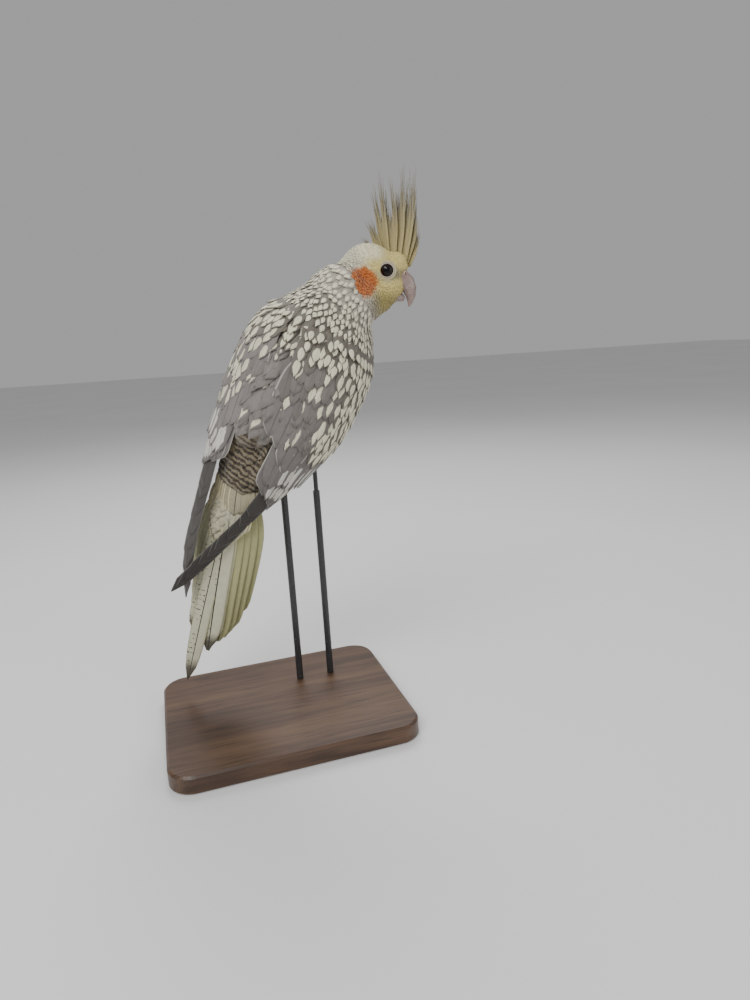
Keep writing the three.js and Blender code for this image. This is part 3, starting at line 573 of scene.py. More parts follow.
def layOnSkin(roots, flow, length, rows, liftRoot, liftTip):
    spot, normal = onSkin(roots)
    centres = np.empty((len(roots), rows, 3))
    normals = np.empty_like(centres)
    walk = spot.copy()
    for i in range(rows):
        k = i / (rows - 1)
        centres[:, i] = spot + normal * (blendOf(liftRoot, liftTip, k) * mm)[:, None]
        normals[:, i] = normal
        if i < rows - 1:
            ahead = flow(walk)
            ahead = unit(ahead - (ahead * normal).sum(-1, keepdims=True) * normal)
            turned = ahead if i == 0 else unit(heading * 0.75 + ahead * 0.25)
            heading = unit(turned - (turned * normal).sum(-1, keepdims=True) * normal)
            walk = spot + heading * (length / (rows - 1) * mm)[:, None]
            spot, normal = onSkin(walk)
    # a feather is stiffer than the skin under it is bent
    for _ in range(2):
        normals[:, 1:-1] = unit(normals[:, :-2] + normals[:, 1:-1] * 2 + normals[:, 2:])
    return centres, normals


def flowOf(points):
    f, u, s = inHead(points)
    t, r, d = inBody(points)
    fromBill = points - headPoint(15.5, -2, 0)
    headFlow = unit(fromBill) - 0.35 * np.outer(smoothStep((-u) / 14), headAxes["crown"])
    bodyFlow = -bodyAxes["along"] - 0.10 * np.sign(r)[:, None] * bodyAxes["right"]
    toLeg = np.zeros_like(points)
    toLeg[:] = (0.0, 0.55, -0.8)
    neck = smoothStep((t - 58) / 16)[:, None]
    flow = unit(bodyFlow) * (1 - neck) + unit(headFlow) * neck
    leg = (smoothStep((-d - 17) / 5) * (np.abs(t + 12) < 26))[:, None]
    return unit(flow * (1 - leg) + toLeg * leg)


coat = {
    "cream": (0.78, 0.74, 0.55),
    "grey": (0.135, 0.122, 0.10),
    "mauve": (0.215, 0.195, 0.18),
    "lilac": (0.46, 0.425, 0.35),
    "yellow": (0.60, 0.50, 0.19),
    "pale": (0.66, 0.59, 0.36),
    "cheek": (0.46, 0.135, 0.03),
    "belly": (0.60, 0.56, 0.40),
    "brown": (0.21, 0.175, 0.115),
}
coat = {key: np.array(value) for key, value in coat.items()}

sheetSpots, sheetTree = {}, {}
for side in wingEdges:
    u, v = np.meshgrid(np.linspace(0, 0.62, 32), np.linspace(0, 1, 24), indexing="ij")
    sheetSpots[side] = (u.ravel(), v.ravel(), wingNormal(side, u, v).reshape(-1, 3))
    sheetTree[side] = KDTree(u.size)
    for i, point in enumerate(wingSheet(side, u, v).reshape(-1, 3)):
        sheetTree[side].insert(Vector(point), i)
    sheetTree[side].balance()


def underWing(points, reach):
    hidden = np.zeros(len(points), bool)
    _, normals = onSkin(points)
    for side in wingEdges:
        u, v, facing = sheetSpots[side]
        for j, point in enumerate(points):
            _, i, far = sheetTree[side].find(Vector(point))
            if far < 5.5 * mm and reach < u[i] < 0.61 and 0.15 < v[i] < 0.94 and normals[j] @ facing[i] > 0.1:
                hidden[j] = True
    return hidden


def onHead(points):
    f, u, s = inHead(points)
    return (np.sqrt(f ** 2 + u ** 2 + s ** 2) < 20.3) & (u + 0.5 * f > -17.5)


def bodyZone(points):
    t, r, d = inBody(points)
    zone = np.full(len(points), "breast", dtype=object)
    zone[d > 5] = "back"
    zone[(d > 3) & (t < -12)] = "rump"
    zone[t > 50] = "neck"
    zone[(d < -17) & (np.abs(t + 12) < 24)] = "leg"
    zone[onHead(points)] = "head"
    return zone


bodyCoat = {
    "neck": {"spacing": 2.1, "length": 7.5, "half": 1.9, "lift": (-0.3, 1.2), "reach": 0.25},
    "back": {"spacing": 3.1, "length": 11.5, "half": 2.5, "lift": (-0.3, 3.0), "reach": 0.27},
    "scapular": {"spacing": 4.4, "length": 22, "half": 4.4, "lift": (0.2, 4.4), "reach": 0.32},
    "rump": {"spacing": 3.2, "length": 12, "half": 3.0, "lift": (-0.4, 1.2), "reach": 0.13},
    "breast": {"spacing": 3.1, "length": 11, "half": 2.8, "lift": (-0.4, 1.7), "reach": 0.13},
    "leg": {"spacing": 2.2, "length": 6.5, "half": 1.7, "lift": (-0.4, 1.0), "reach": 0.13},
}


def bodyLook(points, vary=1.0):
    t, r, d = inBody(points)
    n = len(points)
    fleck = rng.uniform(0, 1, n)
    front = smoothStep((5 - d) / 12)[:, None]
    low = smoothStep((34 - t - 0.5 * np.abs(r - 3)) / 12)[:, None]
    rump = smoothStep((-15 - t) / 9)[:, None]
    neck = smoothStep((t - 42 - 0.25 * d) / 16)[:, None]
    ground = blendOf(coat["grey"] * 1.3, coat["mauve"], low)
    ground = blendOf(ground, coat["brown"], rump)
    ground = blendOf(ground, coat["lilac"] * 0.92, neck * 0.9)
    toTail = smoothStep((-t - 46) / 16)[:, None]
    ground = blendOf(ground, np.array((0.50, 0.47, 0.33)), toTail)
    vent = smoothStep((-t - 8) / 30)[:, None]
    ground = blendOf(ground, blendOf(coat["lilac"], coat["belly"], vent), front)
    ground = ground * (1 + rng.uniform(-0.1, 0.1, (n, 1)) * vary)
    mark = coat["cream"] * (1 + rng.uniform(-0.1, 0.06, (n, 1)) * vary)
    spot = blendOf(1.2, 0.85 * (fleck > 0.82), low[:, 0])
    spot = blendOf(spot, 0.0, rump[:, 0]) * (1 - front[:, 0])
    spot = blendOf(spot, 1.05, neck[:, 0] * (1 - front[:, 0]))
    bars = rump[:, 0] * (1 - front[:, 0]) * (1 - 0.85 * toTail[:, 0])
    pattern = np.stack([spot, 0 * spot, bars, 0.25 + 0 * spot], -1)
    return {"ground": ground, "mark": mark, "pattern": pattern}


def around(points):
    t, r, d = inBody(points)
    return 0.5 + np.arctan2(r, d) / (2 * math.pi) * 0.96, np.clip((t + 75) / 190, 0.01, 0.99)


def inZone(points, zoneName):
    if zoneName != "scapular":
        return bodyZone(points) == zoneName
    t, r, d = inBody(points)
    return (d > 12) & (t < 33 - 0.5 * np.abs(r - 3)) & (t > -6) & (np.abs(r - 3) < 17)


for zoneName, sizes in bodyCoat.items():
    points = spreadPoints(sizes["spacing"], lambda p, zoneName=zoneName: inZone(p, zoneName), 3)
    points = points[~underWing(points, sizes["reach"])]
    k = np.linspace(0, 1, 5)
    length = sizes["length"] * rng.uniform(0.85, 1.15, len(points))
    lift = [np.full(len(points), x) + rng.uniform(-0.15, 0.15, len(points)) for x in sizes["lift"]]
    centre, normal = layOnSkin(points, flowOf, length, 5, *lift)
    width = sizes["half"] * mm * rng.uniform(0.88, 1.12, (len(points), 1)) * bladeShape(k, 0.5, 0.5)
    look = bodyLook(centre[:, 3])
    piece = featherPiece("coat_" + zoneName, "plumage", centre, normal, width, look, around(points), ragged=0.1)
    if zoneName == "leg":
        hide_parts("leg_left", "leg_right")
    else:
        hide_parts("torso", "neck")


# ---- the head's small feathers
headCoat = {
    "spacing": 0.98,
    "length": (2.7, 4.6),
    "half": (0.66, 1.15),
    "lift": (0.3, 0.75),
    "cheekPatch": (-5.4, -4.3),
    "patchSize": 7.3,
}


def keepHead(points):
    f, u, s = inHead(points)
    bill = (f > 13.6) & (np.abs(s) < 5.2) & (u > -13.5) & (u < 0.4)
    nearEye = np.minimum(*(np.linalg.norm(points - headPoint(6.4, 1.2, x), axis=-1) for x in (10.3, -10.3)))
    return onHead(points) & ~bill & (nearEye > 3.9 * mm)


def headLook(points, vary=1.0):
    f, u, s = inHead(points)
    n = len(points)
    back = smoothStep((1.5 - f - 0.25 * u) / 8)[:, None]
    low = smoothStep((-u - 9) / 6)[:, None]
    ground = blendOf(coat["yellow"], coat["pale"] * (1.0, 1.04, 1.24), back)
    crown = (smoothStep((8 - f) / 7) * smoothStep((u - 4) / 5))[:, None]
    ground = blendOf(ground, np.array((0.74, 0.70, 0.50)), crown * 0.8)
    ground = blendOf(ground, coat["lilac"] * (1.08, 1.06, 1.04), back * low * 0.9)
    ground = blendOf(ground, coat["yellow"] * 0.92, (1 - back) * low * 0.5)
    # the throat and chin are darkened to 0.58: partly their own duller tone, partly painted shade from the light above
    ground = ground * blendOf(1, 0.58, smoothStep((-u - 6) / 7)[:, None] * smoothStep((f + 6) / 8)[:, None])
    pf, pu = headCoat["cheekPatch"]
    wobble = 0.35 * np.sin(np.arctan2(u - pu, f - pf) * 5 + 0.6)
    inPatch = headCoat["patchSize"] + wobble - np.hypot(f - pf, (u - pu) * 1.02)
    inPatch = smoothStep(inPatch / 2.6 + 0.5 + rng.uniform(-0.2, 0.2, n) * vary)
    inPatch = (inPatch * (np.abs(s) > 4))[:, None]
    ring = smoothStep(1 - np.abs(np.hypot(f - pf, u - pu) - 9.2) / 1.8)[:, None] * (f < -4)[:, None]
    ground = blendOf(ground, coat["lilac"] * 1.15, ring * 0.6)
    ground = blendOf(ground, coat["cheek"], inPatch)
    eyeFar = np.hypot(f - 6.4, u - 1.2)
    lores = (smoothStep(1.3 - np.abs(u + 0.4) / 2.8) * smoothStep((f - 8.5) / 2.5))[:, None]
    ground = blendOf(ground, np.array((0.23, 0.19, 0.13)), lores * 0.75)
    under = (smoothStep(1 - np.abs(eyeFar - 4.6) / 1.8) * (u < 1))[:, None]
    ground = blendOf(ground, np.array((0.34, 0.34, 0.24)), under * 0.6)
    flecks = (smoothStep(1 - np.abs(eyeFar - 4.7) / 0.9) * (f < 5.5) * (u > 1.5))[:, None]
    ground = blendOf(ground, np.array((0.10, 0.08, 0.06)), flecks * (rng.random((n, 1)) < 0.4) * 0.8 * vary)
    ground = ground * (1 + rng.uniform(-0.08, 0.07, (n, 1)) * vary)
    mark = blendOf(ground, coat["cream"], back * 0.8)
    grey = (back * (1 - inPatch))[:, 0] * smoothStep((-f - 5) / 6)
    ground = blendOf(ground, coat["grey"] * 1.7, grey[:, None] * 0.6)
    pattern = np.stack([grey * 0.9, 0 * grey, 0 * grey, 0.2 + 0 * grey], -1)
    return {"ground": ground, "mark": mark, "pattern": pattern}


points = spreadPoints(headCoat["spacing"], keepHead, 5)
f, u, s = inHead(points)
size = smoothStep((9 - f) / 16)
size = np.where(np.hypot(f - 6.4, u - 1.2) < 6, size * 0.5, size)
length = blendOf(*headCoat["length"], size) * rng.uniform(0.85, 1.15, len(points))
centre, normal = layOnSkin(points, flowOf, length, 4, np.full(len(points), -0.25), blendOf(*headCoat["lift"], size))
half = blendOf(*headCoat["half"], size)[:, None] * mm * bladeShape(np.linspace(0, 1, 4), 0.5, 0.6)
roots = (0.5 + np.arctan2(s, u + 2) / (2 * math.pi) * 0.96, np.clip((f + 24) / 44, 0.01, 0.99))
look = headLook(centre[:, 2])
piece = featherPiece("coat_head", "face", centre, normal, half, look, roots, 2, ragged=0.12, thick=0.12)
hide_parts("head")

# the skin has the same markings, for what shows of it
spots = np.empty(len(skin.data.vertices) * 3, np.float32)
skin.data.vertices.foreach_get("co", spots)
spots = spots.reshape(-1, 3).astype(float)
tints = np.where(onHead(spots)[:, None], headLook(spots, 0)["ground"], bodyLook(spots, 0)["ground"])
layer = skin.data.attributes.new("ground", "FLOAT_COLOR", "POINT")
layer.data.foreach_set("color", np.concatenate([tints, np.ones((len(tints), 1))], -1).astype(np.float32).ravel())


# ---- crest: each feather is a bunch of fine strands on one shaft
crest = {
    "rootFore": (16.8, 3.0),
    "rootUp": (5.6, 12.2),
    "tips": [(21.3, 23), (21.1, 35), (20.3, 47.8), (18.8, 37.5), (17.3, 42.5), (15.1, 49.5), (14.6, 38),
             (12.2, 41), (10.1, 44.5), (10.6, 33), (6.4, 39), (3.6, 47.1), (3.2, 32), (0.4, 42), (-0.6, 25),
             (-2.9, 26.5), (-4.6, 17.5)],
    "strands": 17,
    "spread": 1.6,
    "yellow": (0.39, 0.33, 0.155),
    "olive": (0.25, 0.22, 0.155),
}
rows = 9
k = np.linspace(0, 1, rows)
centres, normals, widths, grounds = [], [], [], []
for i, tip in enumerate(crest["tips"]):
    a = i / (len(crest["tips"]) - 1)
    rootF, rootU = blendOf(*crest["rootFore"], a), blendOf(*crest["rootUp"], math.sqrt(a))
    bow = blendOf(1.6, -0.8, a)
    lean = (i % 3) - 1
    for j in range(crest["strands"]):
        b = j / (crest["strands"] - 1) * 2 - 1
        reach = 1 - 0.5 * abs(b) ** 1.2 * rng.uniform(0.4, 1.2)
        m = k * reach
        apart = crest["spread"] * b * (0.5 + 0.65 * smoothStep(m * 2.6) - 0.8 * m) * rng.uniform(0.7, 1.2)
        stray = rng.normal(0, 0.5) * m ** 2 * 2.5
        f = blendOf(rootF, tip[0], m) + bow * np.sin(np.pi * np.minimum(1, m * 1.02)) + apart * 0.8 + stray
        u = blendOf(rootU - 2.0, tip[1], m)
        s = lean * (2.0 * smoothStep(m) + 1.3) + apart * 0.5 + rng.normal(0, 0.3) * m * 3
        centres.append(headPoint(f, u, s))
        normals.append(np.tile(headAxes["side"] + 0.4 * rng.normal() * headAxes["fore"], (rows, 1)))
        fine = blendOf(0.62, 0.075, smoothStep(m * 1.1)) * (1 - 0.35 * a)
        widths.append(fine * mm * np.where(k > 0.9, 0.6, 1))
        tint = blendOf(np.array(crest["yellow"]), np.array(crest["olive"]), smoothStep((m[:, None] - 0.2) / 0.6))
        grounds.append(tint * rng.uniform(0.86, 1.1))
n = len(centres)
look = {"ground": np.array(grounds), "mark": np.tile(coat["pale"], (n, 1)), "pattern": np.tile((0, 0, 0, 0.0), (n, 1))}
roots = (np.linspace(0.05, 0.95, n), np.full(n, 0.5))
piece = featherPiece("crest_feathers", "face", np.array(centres), np.array(normals), np.array(widths), look, roots, 2,
                     camber=0.3, thick=0.22)
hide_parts("head")


# ---- wings: tiers of long feathers, first and last of each as places on the sheet
tiers = {
    "primaries": {
        "count": 9, "from": ((0.44, 0.28), (0.5, 0.62)), "to": ((0.995, 0.45), (0.72, 0.64)), "half": (4.4, 5.4),
        "lift": ((-1.6, 0), (-0.6, 2.4)), "tip": 0.14, "ground": (0.05, 0.046, 0.042), "mark": (0.24, 0.225, 0.2),
        "edge": 0.06, "shaft": 0.9, "flight": True,
    },
    "secondaries": {
        "count": 8, "from": ((0.3, 0.26), (0.36, 0.8)), "to": ((0.68, 0.34), (0.62, 0.8)), "half": (5.0, 6.2),
        "lift": ((-1, 1.8), (0.2, 2.9)), "tip": 0.22, "ground": (0.15, 0.138, 0.13), "mark": (0.46, 0.44, 0.40),
        "edge": 0.1, "shaft": 0.6, "flight": True,
    },
    "tertials": {
        "count": 4, "from": ((0.2, 0.68), (0.24, 0.95)), "to": ((0.55, 0.68), (0.47, 0.97)), "half": (6.2, 5.8),
        "lift": ((0.4, 3.2), (0.9, 3.9)), "tip": 0.28, "ground": (0.19, 0.172, 0.163), "mark": (0.46, 0.44, 0.40),
        "edge": 0.13, "shaft": 0.5, "flight": True,
    },
    "primary_coverts": {
        "count": 5, "from": ((0.33, 0.18), (0.38, 0.38)), "to": ((0.53, 0.22), (0.58, 0.42)), "half": (3.0, 3.4),
        "lift": ((-0.2, 1.5), (0.1, 2.1)), "tip": 0.3, "ground": (0.15, 0.137, 0.125), "spot": (0.6, 0.7), "shaft": 0.3,
    },
    "long_coverts": {
        "count": 5, "from": ((0.42, 0.34), (0.44, 0.66)), "to": ((0.655, 0.42), (0.64, 0.68)), "half": (4.0, 4.2),
        "lift": ((0.2, 2.9), (0.4, 3.3)), "tip": 0.34, "ground": (0.16, 0.145, 0.135), "spot": (0.8, 0.72),
        "shaft": 0.3,
    },
    "greater_coverts": {
        "count": 9, "from": ((0.35, 0.18), (0.39, 0.86)), "to": ((0.56, 0.2), (0.605, 0.8)), "half": (3.4, 4.2),
        "lift": ((0.6, 3.1), (1.0, 4.1)), "tip": 0.34, "ground": (0.16, 0.146, 0.137), "spot": (0.8, 0.85),
        "shaft": 0.3,
    },
}
smallCoverts = {"rows": 12, "columns": 12, "start": (0.12, 0.35), "side": (0.15, 0.96), "length": (0.07, 0.13)}


def wingCoverts(side):
    rows, columns = smallCoverts["rows"], smallCoverts["columns"]
    across, down = np.meshgrid(np.linspace(0, 1, columns), np.linspace(0, 1, rows))
    across = across + (np.arange(rows) % 2)[:, None] * 0.5 / columns + rng.uniform(-0.3, 0.3, across.shape) / columns
    down = np.clip(down + rng.uniform(-0.45, 0.45, down.shape) / rows, 0, 1)
    across, down = across.ravel()[:, None], down.ravel()[:, None]
    k = np.linspace(0, 1, 8)[None]
    startV = blendOf(*smallCoverts["side"], across)
    startU = blendOf(*smallCoverts["start"], down)
    length = blendOf(*smallCoverts["length"], down) * rng.uniform(0.88, 1.12, across.shape)
    u = startU + length * k
    v = blendOf(startV, 0.5 + (startV - 0.5) * (1 - 0.12 * down), k)
    normal = wingNormal(side, u, v)
    lift = blendOf(3.2 * smoothStep(down / 0.26) - 2.2 + 0.4 * rng.random(across.shape), 2.9 + 0.7 * rng.random(across.shape), k)
    lift = lift * (0.65 + 0.35 * np.sqrt(np.clip(startV - 0.08, 0, 1)))
    centre = wingSheet(side, u, v) + normal * (lift * mm)[..., None]
    width = blendOf(2.7, 4.1, down) * mm * rng.uniform(0.9, 1.1, across.shape) * bladeShape(k, 0.45, 0.5)
    startU, startV, down = startU[:, 0], startV[:, 0], down[:, 0]
    plain = smoothStep((startV - (0.42 if side == "right" else 0.3)) / 0.26) * smoothStep((down - 0.22) / 0.3)
    chance = 0.78 if side == "right" else 0.42
    spot = np.where(rng.random(len(plain)) < plain * chance, 0.0, blendOf(1.15, 0.88, down))
    spot = spot * rng.uniform(0.85, 1.12, len(spot))
    ground = blendOf(coat["grey"] * 1.05, coat["mauve"] * 0.85, plain[:, None])
    return centre, normal, width, (startU, startV), spot, ground


def wingTier(side, tier, rows):
    a = np.linspace(0, 1, tier["count"])[:, None]
    k = np.linspace(0, 1, rows)[None]
    jitter = rng.normal(0, 0.006, (tier["count"], 1))
    (u0, v0), (u1, v1) = tier["from"]
    startU, startV = blendOf(u0, u1, a), blendOf(v0, v1, a)
    (u0, v0), (u1, v1) = tier["to"]
    endU, endV = blendOf(u0, u1, a) + jitter, blendOf(v0, v1, a)
    u, v = blendOf(startU, endU, k), blendOf(startV, endV, k)
    (l0, l1), (m0, m1) = tier["lift"]
    lift = blendOf(blendOf(l0, m0, a), blendOf(l1, m1, a), k)
    normal = wingNormal(side, u, v)
    centre = wingSheet(side, u, v) + normal * (lift * mm)[..., None]
    along = unit(np.gradient(centre, axis=1))
    tilt = 0.07 * wingEdges[side]["turn"]
    normal = unit(normal * math.cos(tilt) + np.cross(along, normal) * math.sin(tilt))
    width = blendOf(*tier["half"], a) * mm * bladeShape(k, tier["tip"], 0.5) * rng.uniform(0.95, 1.05, a.shape)
    return centre, normal, width, (startU[:, 0], startV[:, 0])


def addWingPiece(side, kind, batches):
    joined = {key: np.concatenate([batch[key] for batch in batches]) for key in batches[0]}
    roots = (0.08 + joined["v"] * 0.84, 0.95 - np.clip(joined["u"], -0.05, 1) * 0.85)
    flight = kind == "flight"
    piece = featherPiece(
        f"wing_{side}_{kind}", "wing", joined["centre"], joined["normal"], joined["width"], joined, roots,
        8 if flight else 6, camber=0.1 if flight else 0.16, ragged=0.015 if flight else 0.06, thick=0.3,
    )
    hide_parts(f"wing_{side}")


for side in wingEdges:
    batches = {"flight": [], "coverts": []}
    for tierName, tier in tiers.items():
        centre, normal, width, (u, v) = wingTier(side, tier, 12)
        n = tier["count"]
        # painted light: the left wing gets lighter copies of the same feather colours, 1.5 times for the primaries and
        # 1.25 for the other tiers, as if it were lit more than the right
        leftPaintedLight = (1.5 if tierName == "primaries" else 1.25) if side == "left" else 1.0
        ground = np.array(tier["ground"]) * leftPaintedLight * rng.uniform(0.9, 1.1, (n, 1))
        mark = np.tile(tier.get("mark", (0.64, 0.62, 0.55)), (n, 1)) * rng.uniform(0.9, 1.05, (n, 1))
        spot = np.zeros(n)
        if "spot" in tier:
            spot = np.where((v > 0.74) & (rng.random(n) < (0.8 if side == "right" else 0.3)), 0.0, blendOf(*tier["spot"], np.linspace(0, 1, n)))
            spot = spot * rng.uniform(0.8, 1.15, n)
        pattern = np.stack([spot, np.full(n, tier.get("edge", 0.0)), 0 * spot, np.full(n, tier["shaft"])], -1)
        mark = np.concatenate([mark, 0.5 + rng.uniform(-0.12, 0.12, (n, 1))], -1)
        values = (centre, normal, width, u, v, ground, mark, pattern)
        keys = ("centre", "normal", "width", "u", "v", "ground", "mark", "pattern")
        batches["flight" if tier.get("flight") else "coverts"].append(dict(zip(keys, values)))
    centre, normal, width, (u, v), spot, ground = wingCoverts(side)
    n = len(spot)
    # painted light: the left wing's small coverts are 1.25 times lighter than the same feathers on the right
    ground = ground * rng.uniform(0.88, 1.12, (n, 1)) * (1.25 if side == "left" else 1.0)
    mark = np.tile(coat["cream"], (n, 1)) * rng.uniform(0.9, 1.05, (n, 1))
    mark = np.concatenate([mark, 0.5 + rng.uniform(-0.12, 0.12, (n, 1))], -1)
    pattern = np.stack([spot, 0 * spot, 0 * spot, 0.25 + 0 * spot], -1)
    small = {"centre": centre, "normal": normal, "width": width, "u": u, "v": v, "ground": ground}
    small.update(mark=mark, pattern=pattern)
    addWingPiece(side, "flight", batches["flight"])
    addWingPiece(side, "coverts", batches["coverts"])
    addWingPiece(side, "small_coverts", [small])


# ---- tail: twelve long feathers, the middle pair on top, and the coverts over their roots
tail = {
    "root": (-16.5, 2.6, 133),
    "face": unit((-0.42, -0.88, -0.12)),
    "feathers": [  # tip, place across the root, half width, bow to the bird's right
        ((-18.2, 21.5, 57.5), 9, 4.2, 6.5), ((-23.5, 22.9, 49), 7.5, 4.4, 5.5), ((-27.9, 23, 44.5), 5.5, 4.6, 4),
        ((-31.3, 22.5, 43), 3.6, 4.9, 2.5), ((-35.3, 22.6, 42), 1.8, 5.2, 1), ((-37.5, 22.5, 39), 0.5, 6.4, 0),
        ((-50.5, 30, 20), -0.5, 4.9, 0), ((-44, 27.5, 50), -1.8, 5.2, 0), ((-42, 26.5, 59), -3.6, 5.0, -0.5),
        ((-40.5, 25, 68), -5.5, 4.9, -1), ((-39, 24, 77), -7.5, 4.8, -1.5), ((-37.5, 22.5, 86), -9, 4.6, -2),
    ],
    # the tail's cream and yellow are darkened by about a fifth: painted shade, for the shade the tail lies in
    "cream": (0.52, 0.507, 0.37),
    "yellow": (0.38, 0.37, 0.19),
    "tip": (0.09, 0.08, 0.06),
    "dark": (0.12, 0.11, 0.09),
}
rows = 16
k = np.linspace(0, 1, rows)
across = unit(np.cross(tail["face"], (0, 0, -1)))
centres, normals, widths, grounds, patterns = [], [], [], [], []
for i, (tip, spread, half, bow) in enumerate(tail["feathers"]):
    lift = 2.6 - 0.62 * abs(i - 5.5) + (i % 2) * 0.1
    start = np.array(tail["root"]) + across * spread + tail["face"] * lift
    end = np.array(tip) + tail["face"] * lift * 0.8
    line = blendOf(start, end, k[:, None]) + tail["face"] * (1.6 * np.sin(np.pi * k))[:, None]
    line += across * (bow * np.sin(np.pi * k ** 0.6))[:, None]
    centres.append(line * mm)
    lean = tail["face"] + across * 0.05 * np.sign(5.5 - i)
    normals.append(np.tile(lean, (rows, 1)))
    middle = i in (5, 6)
    widths.append(half * mm * bladeShape(k, 0.16 if not middle else 0.3, 0.5))
    base = blendOf(np.array(tail["cream"]), np.array(tail["yellow"]), (1, 0, 0.35)[(i > 3) + (i > 8)])
    base = base * rng.uniform(0.94, 1.04)
    ground = np.tile(base, (rows, 1))
    if 3 < i < 8:
        ground = blendOf(ground, np.array(tail["tip"]), smoothStep((k[:, None] - 0.87) / 0.07))
    grounds.append(ground)
    patterns.append((0, 0.1, 1.0 if i in (4, 5, 6, 7) else 0.2, 1.0))
n = len(centres)
look = {"ground": np.array(grounds), "mark": np.tile(tail["yellow"], (n, 1)), "pattern": np.array(patterns)}
piece = featherPiece("tail_feathers", "tail", np.array(centres), np.array(normals), np.array(widths), look,
                     (np.linspace(0.06, 0.94, n), np.full(n, 0.5)), 8, camber=0.1, ragged=0.02, thick=0.32)
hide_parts("tail")

coverts = {"count": 13, "length": (24, 42), "half": 4.2, "spread": 17}
k = np.linspace(0, 1, 9)
centres, normals, widths, grounds, patterns = [], [], [], [], []
toTip = unit(np.array(tail["feathers"][5][0]) - np.array(tail["root"]))
for layer in (0, 1):
    for i in range(coverts["count"]):
        a = i / (coverts["count"] - 1) - 0.5
        length = blendOf(coverts["length"][1], coverts["length"][0], abs(a) * 2) * (0.9 - 0.32 * layer)
        start = bodyPoint(-50 + 7 * layer, 4.3 + a * coverts["spread"], 4.0 + 2.4 * layer - 9 * a * a) / mm
        run = unit(toTip + bodyAxes["right"] * a * 0.22)
        line = start + run * (length * k)[:, None] + tail["face"] * (1.2 * np.sin(np.pi * k) + 0.5 * (i % 2))[:, None]
        centres.append(line * mm)
        normals.append(np.tile(tail["face"] + across * -0.35 * a, (len(k), 1)))
        widths.append(coverts["half"] * mm * bladeShape(k, 0.4, 0.5))
        grounds.append(np.array((0.54, 0.52, 0.38) if layer == 0 else (0.36, 0.32, 0.22)) * rng.uniform(0.9, 1.1))
        patterns.append((0.0, 0.2, 0.25, 0.9 if abs(a) < 0.12 else 0.3))
n = len(centres)
look = {"ground": np.array(grounds), "mark": np.tile(coat["pale"], (n, 1)), "pattern": np.array(patterns)}
piece = featherPiece("tail_coverts", "tail", np.array(centres), np.array(normals), np.array(widths), look,
                     (np.linspace(0.06, 0.94, n), np.full(n, 0.3)), 6, camber=0.06, ragged=0.05, thick=0.25)
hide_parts("tail")


# ---- eyes: glossy black with a dark brown iris, in a thin ring of bare lid
def paintNode(nodeName, material):
    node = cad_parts[nodeName]
    for slotOfNode in node.material_slots:
        slotOfNode.material = material


eye = {"lidRadius": 3.4, "lidThick": 0.36, "lidOut": 10.1, "iris": (0.012, 0.007, 0.005), "black": (0.004, 0.003, 0.003)}
for side, turn in (("right", 1), ("left", -1)):
    material, tree, shader = newMaterial(f"eye {side}", 0.08, 0.16, coat=0.12)
    shader.inputs["Coat Roughness"].default_value = 0.02
    local = addNode(tree, "ShaderNodeTexCoord").outputs["Object"]
    gap = addNode(tree, "ShaderNodeVectorMath", operation="DISTANCE")
    tree.links.new(local, gap.inputs[0])
    gap.inputs[1].default_value = headPoint(6.4, 1.2, 11.8 * turn)
    stops = [(0.0, eye["black"]), (0.4, eye["black"]), (0.5, eye["iris"]), (0.75, eye["iris"]), (0.95, eye["black"])]
    tint = rampOf(tree, calc(tree, "MULTIPLY", gap.outputs["Value"], 270.0), stops)
    tree.links.new(tint, shader.inputs["Base Color"])
    paintNode(f"eye_{side}", material)

lidMaterial, tree, shader = newMaterial("bare lid", 0.55, 0.35)
local = addNode(tree, "ShaderNodeTexCoord").outputs["Object"]
pebble = addNode(tree, "ShaderNodeTexVoronoi")
pebble.inputs["Scale"].default_value = 2400.0
tree.links.new(local, pebble.inputs["Vector"])
tint = rampOf(tree, pebble.outputs["Distance"], [(0.1, (0.56, 0.50, 0.40)), (0.6, (0.36, 0.31, 0.25))])
tree.links.new(tint, shader.inputs["Base Color"])
bumpOf(tree, shader, pebble.outputs["Distance"], 0.4, 0.0001)
for side, turn in (("right", 1), ("left", -1)):
    bpy.ops.object.select_all(action="DESELECT")
    bpy.ops.mesh.primitive_torus_add(major_segments=64, minor_segments=14, major_radius=eye["lidRadius"] * mm,
                                     minor_radius=eye["lidThick"] * mm)
    lid = bpy.context.object
    lid.name = f"lid_{side}"
    columns = [Vector(headAxes["fore"]), Vector(headAxes["crown"]) * 0.94, Vector(headAxes["side"] * turn)]
    centre = headPoint(6.4, 1.2, eye["lidOut"] * turn)
    lid.matrix_world = Matrix.Translation(Vector(centre)) @ Matrix(columns).transposed().to_4x4()
    bpy.ops.object.transform_apply(location=True, rotation=True, scale=True)
    bpy.ops.object.mode_set(mode="EDIT")
    bpy.ops.mesh.select_all(action="SELECT")
    bpy.ops.mesh.normals_make_consistent(inside=False)
    bpy.ops.transform.vertex_random(offset=0.06 * mm, seed=4)
    bpy.ops.object.mode_set(mode="OBJECT")
    bpy.ops.object.shade_smooth()
    lid.data.materials.append(lidMaterial)
    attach(lid, "root")
skirtMaterial, tree, shader = newMaterial("skin round the lid", 0.8, 0.2)
local = addNode(tree, "ShaderNodeTexCoord").outputs["Object"]
soft = noiseOf(tree, local, 1600.0, 3.0)
tint = rampOf(tree, soft, [(0.3, (0.36, 0.32, 0.2)), (0.7, (0.52, 0.46, 0.28))])
tree.links.new(tint, shader.inputs["Base Color"])
bumpOf(tree, shader, soft, 0.5, 0.0002)
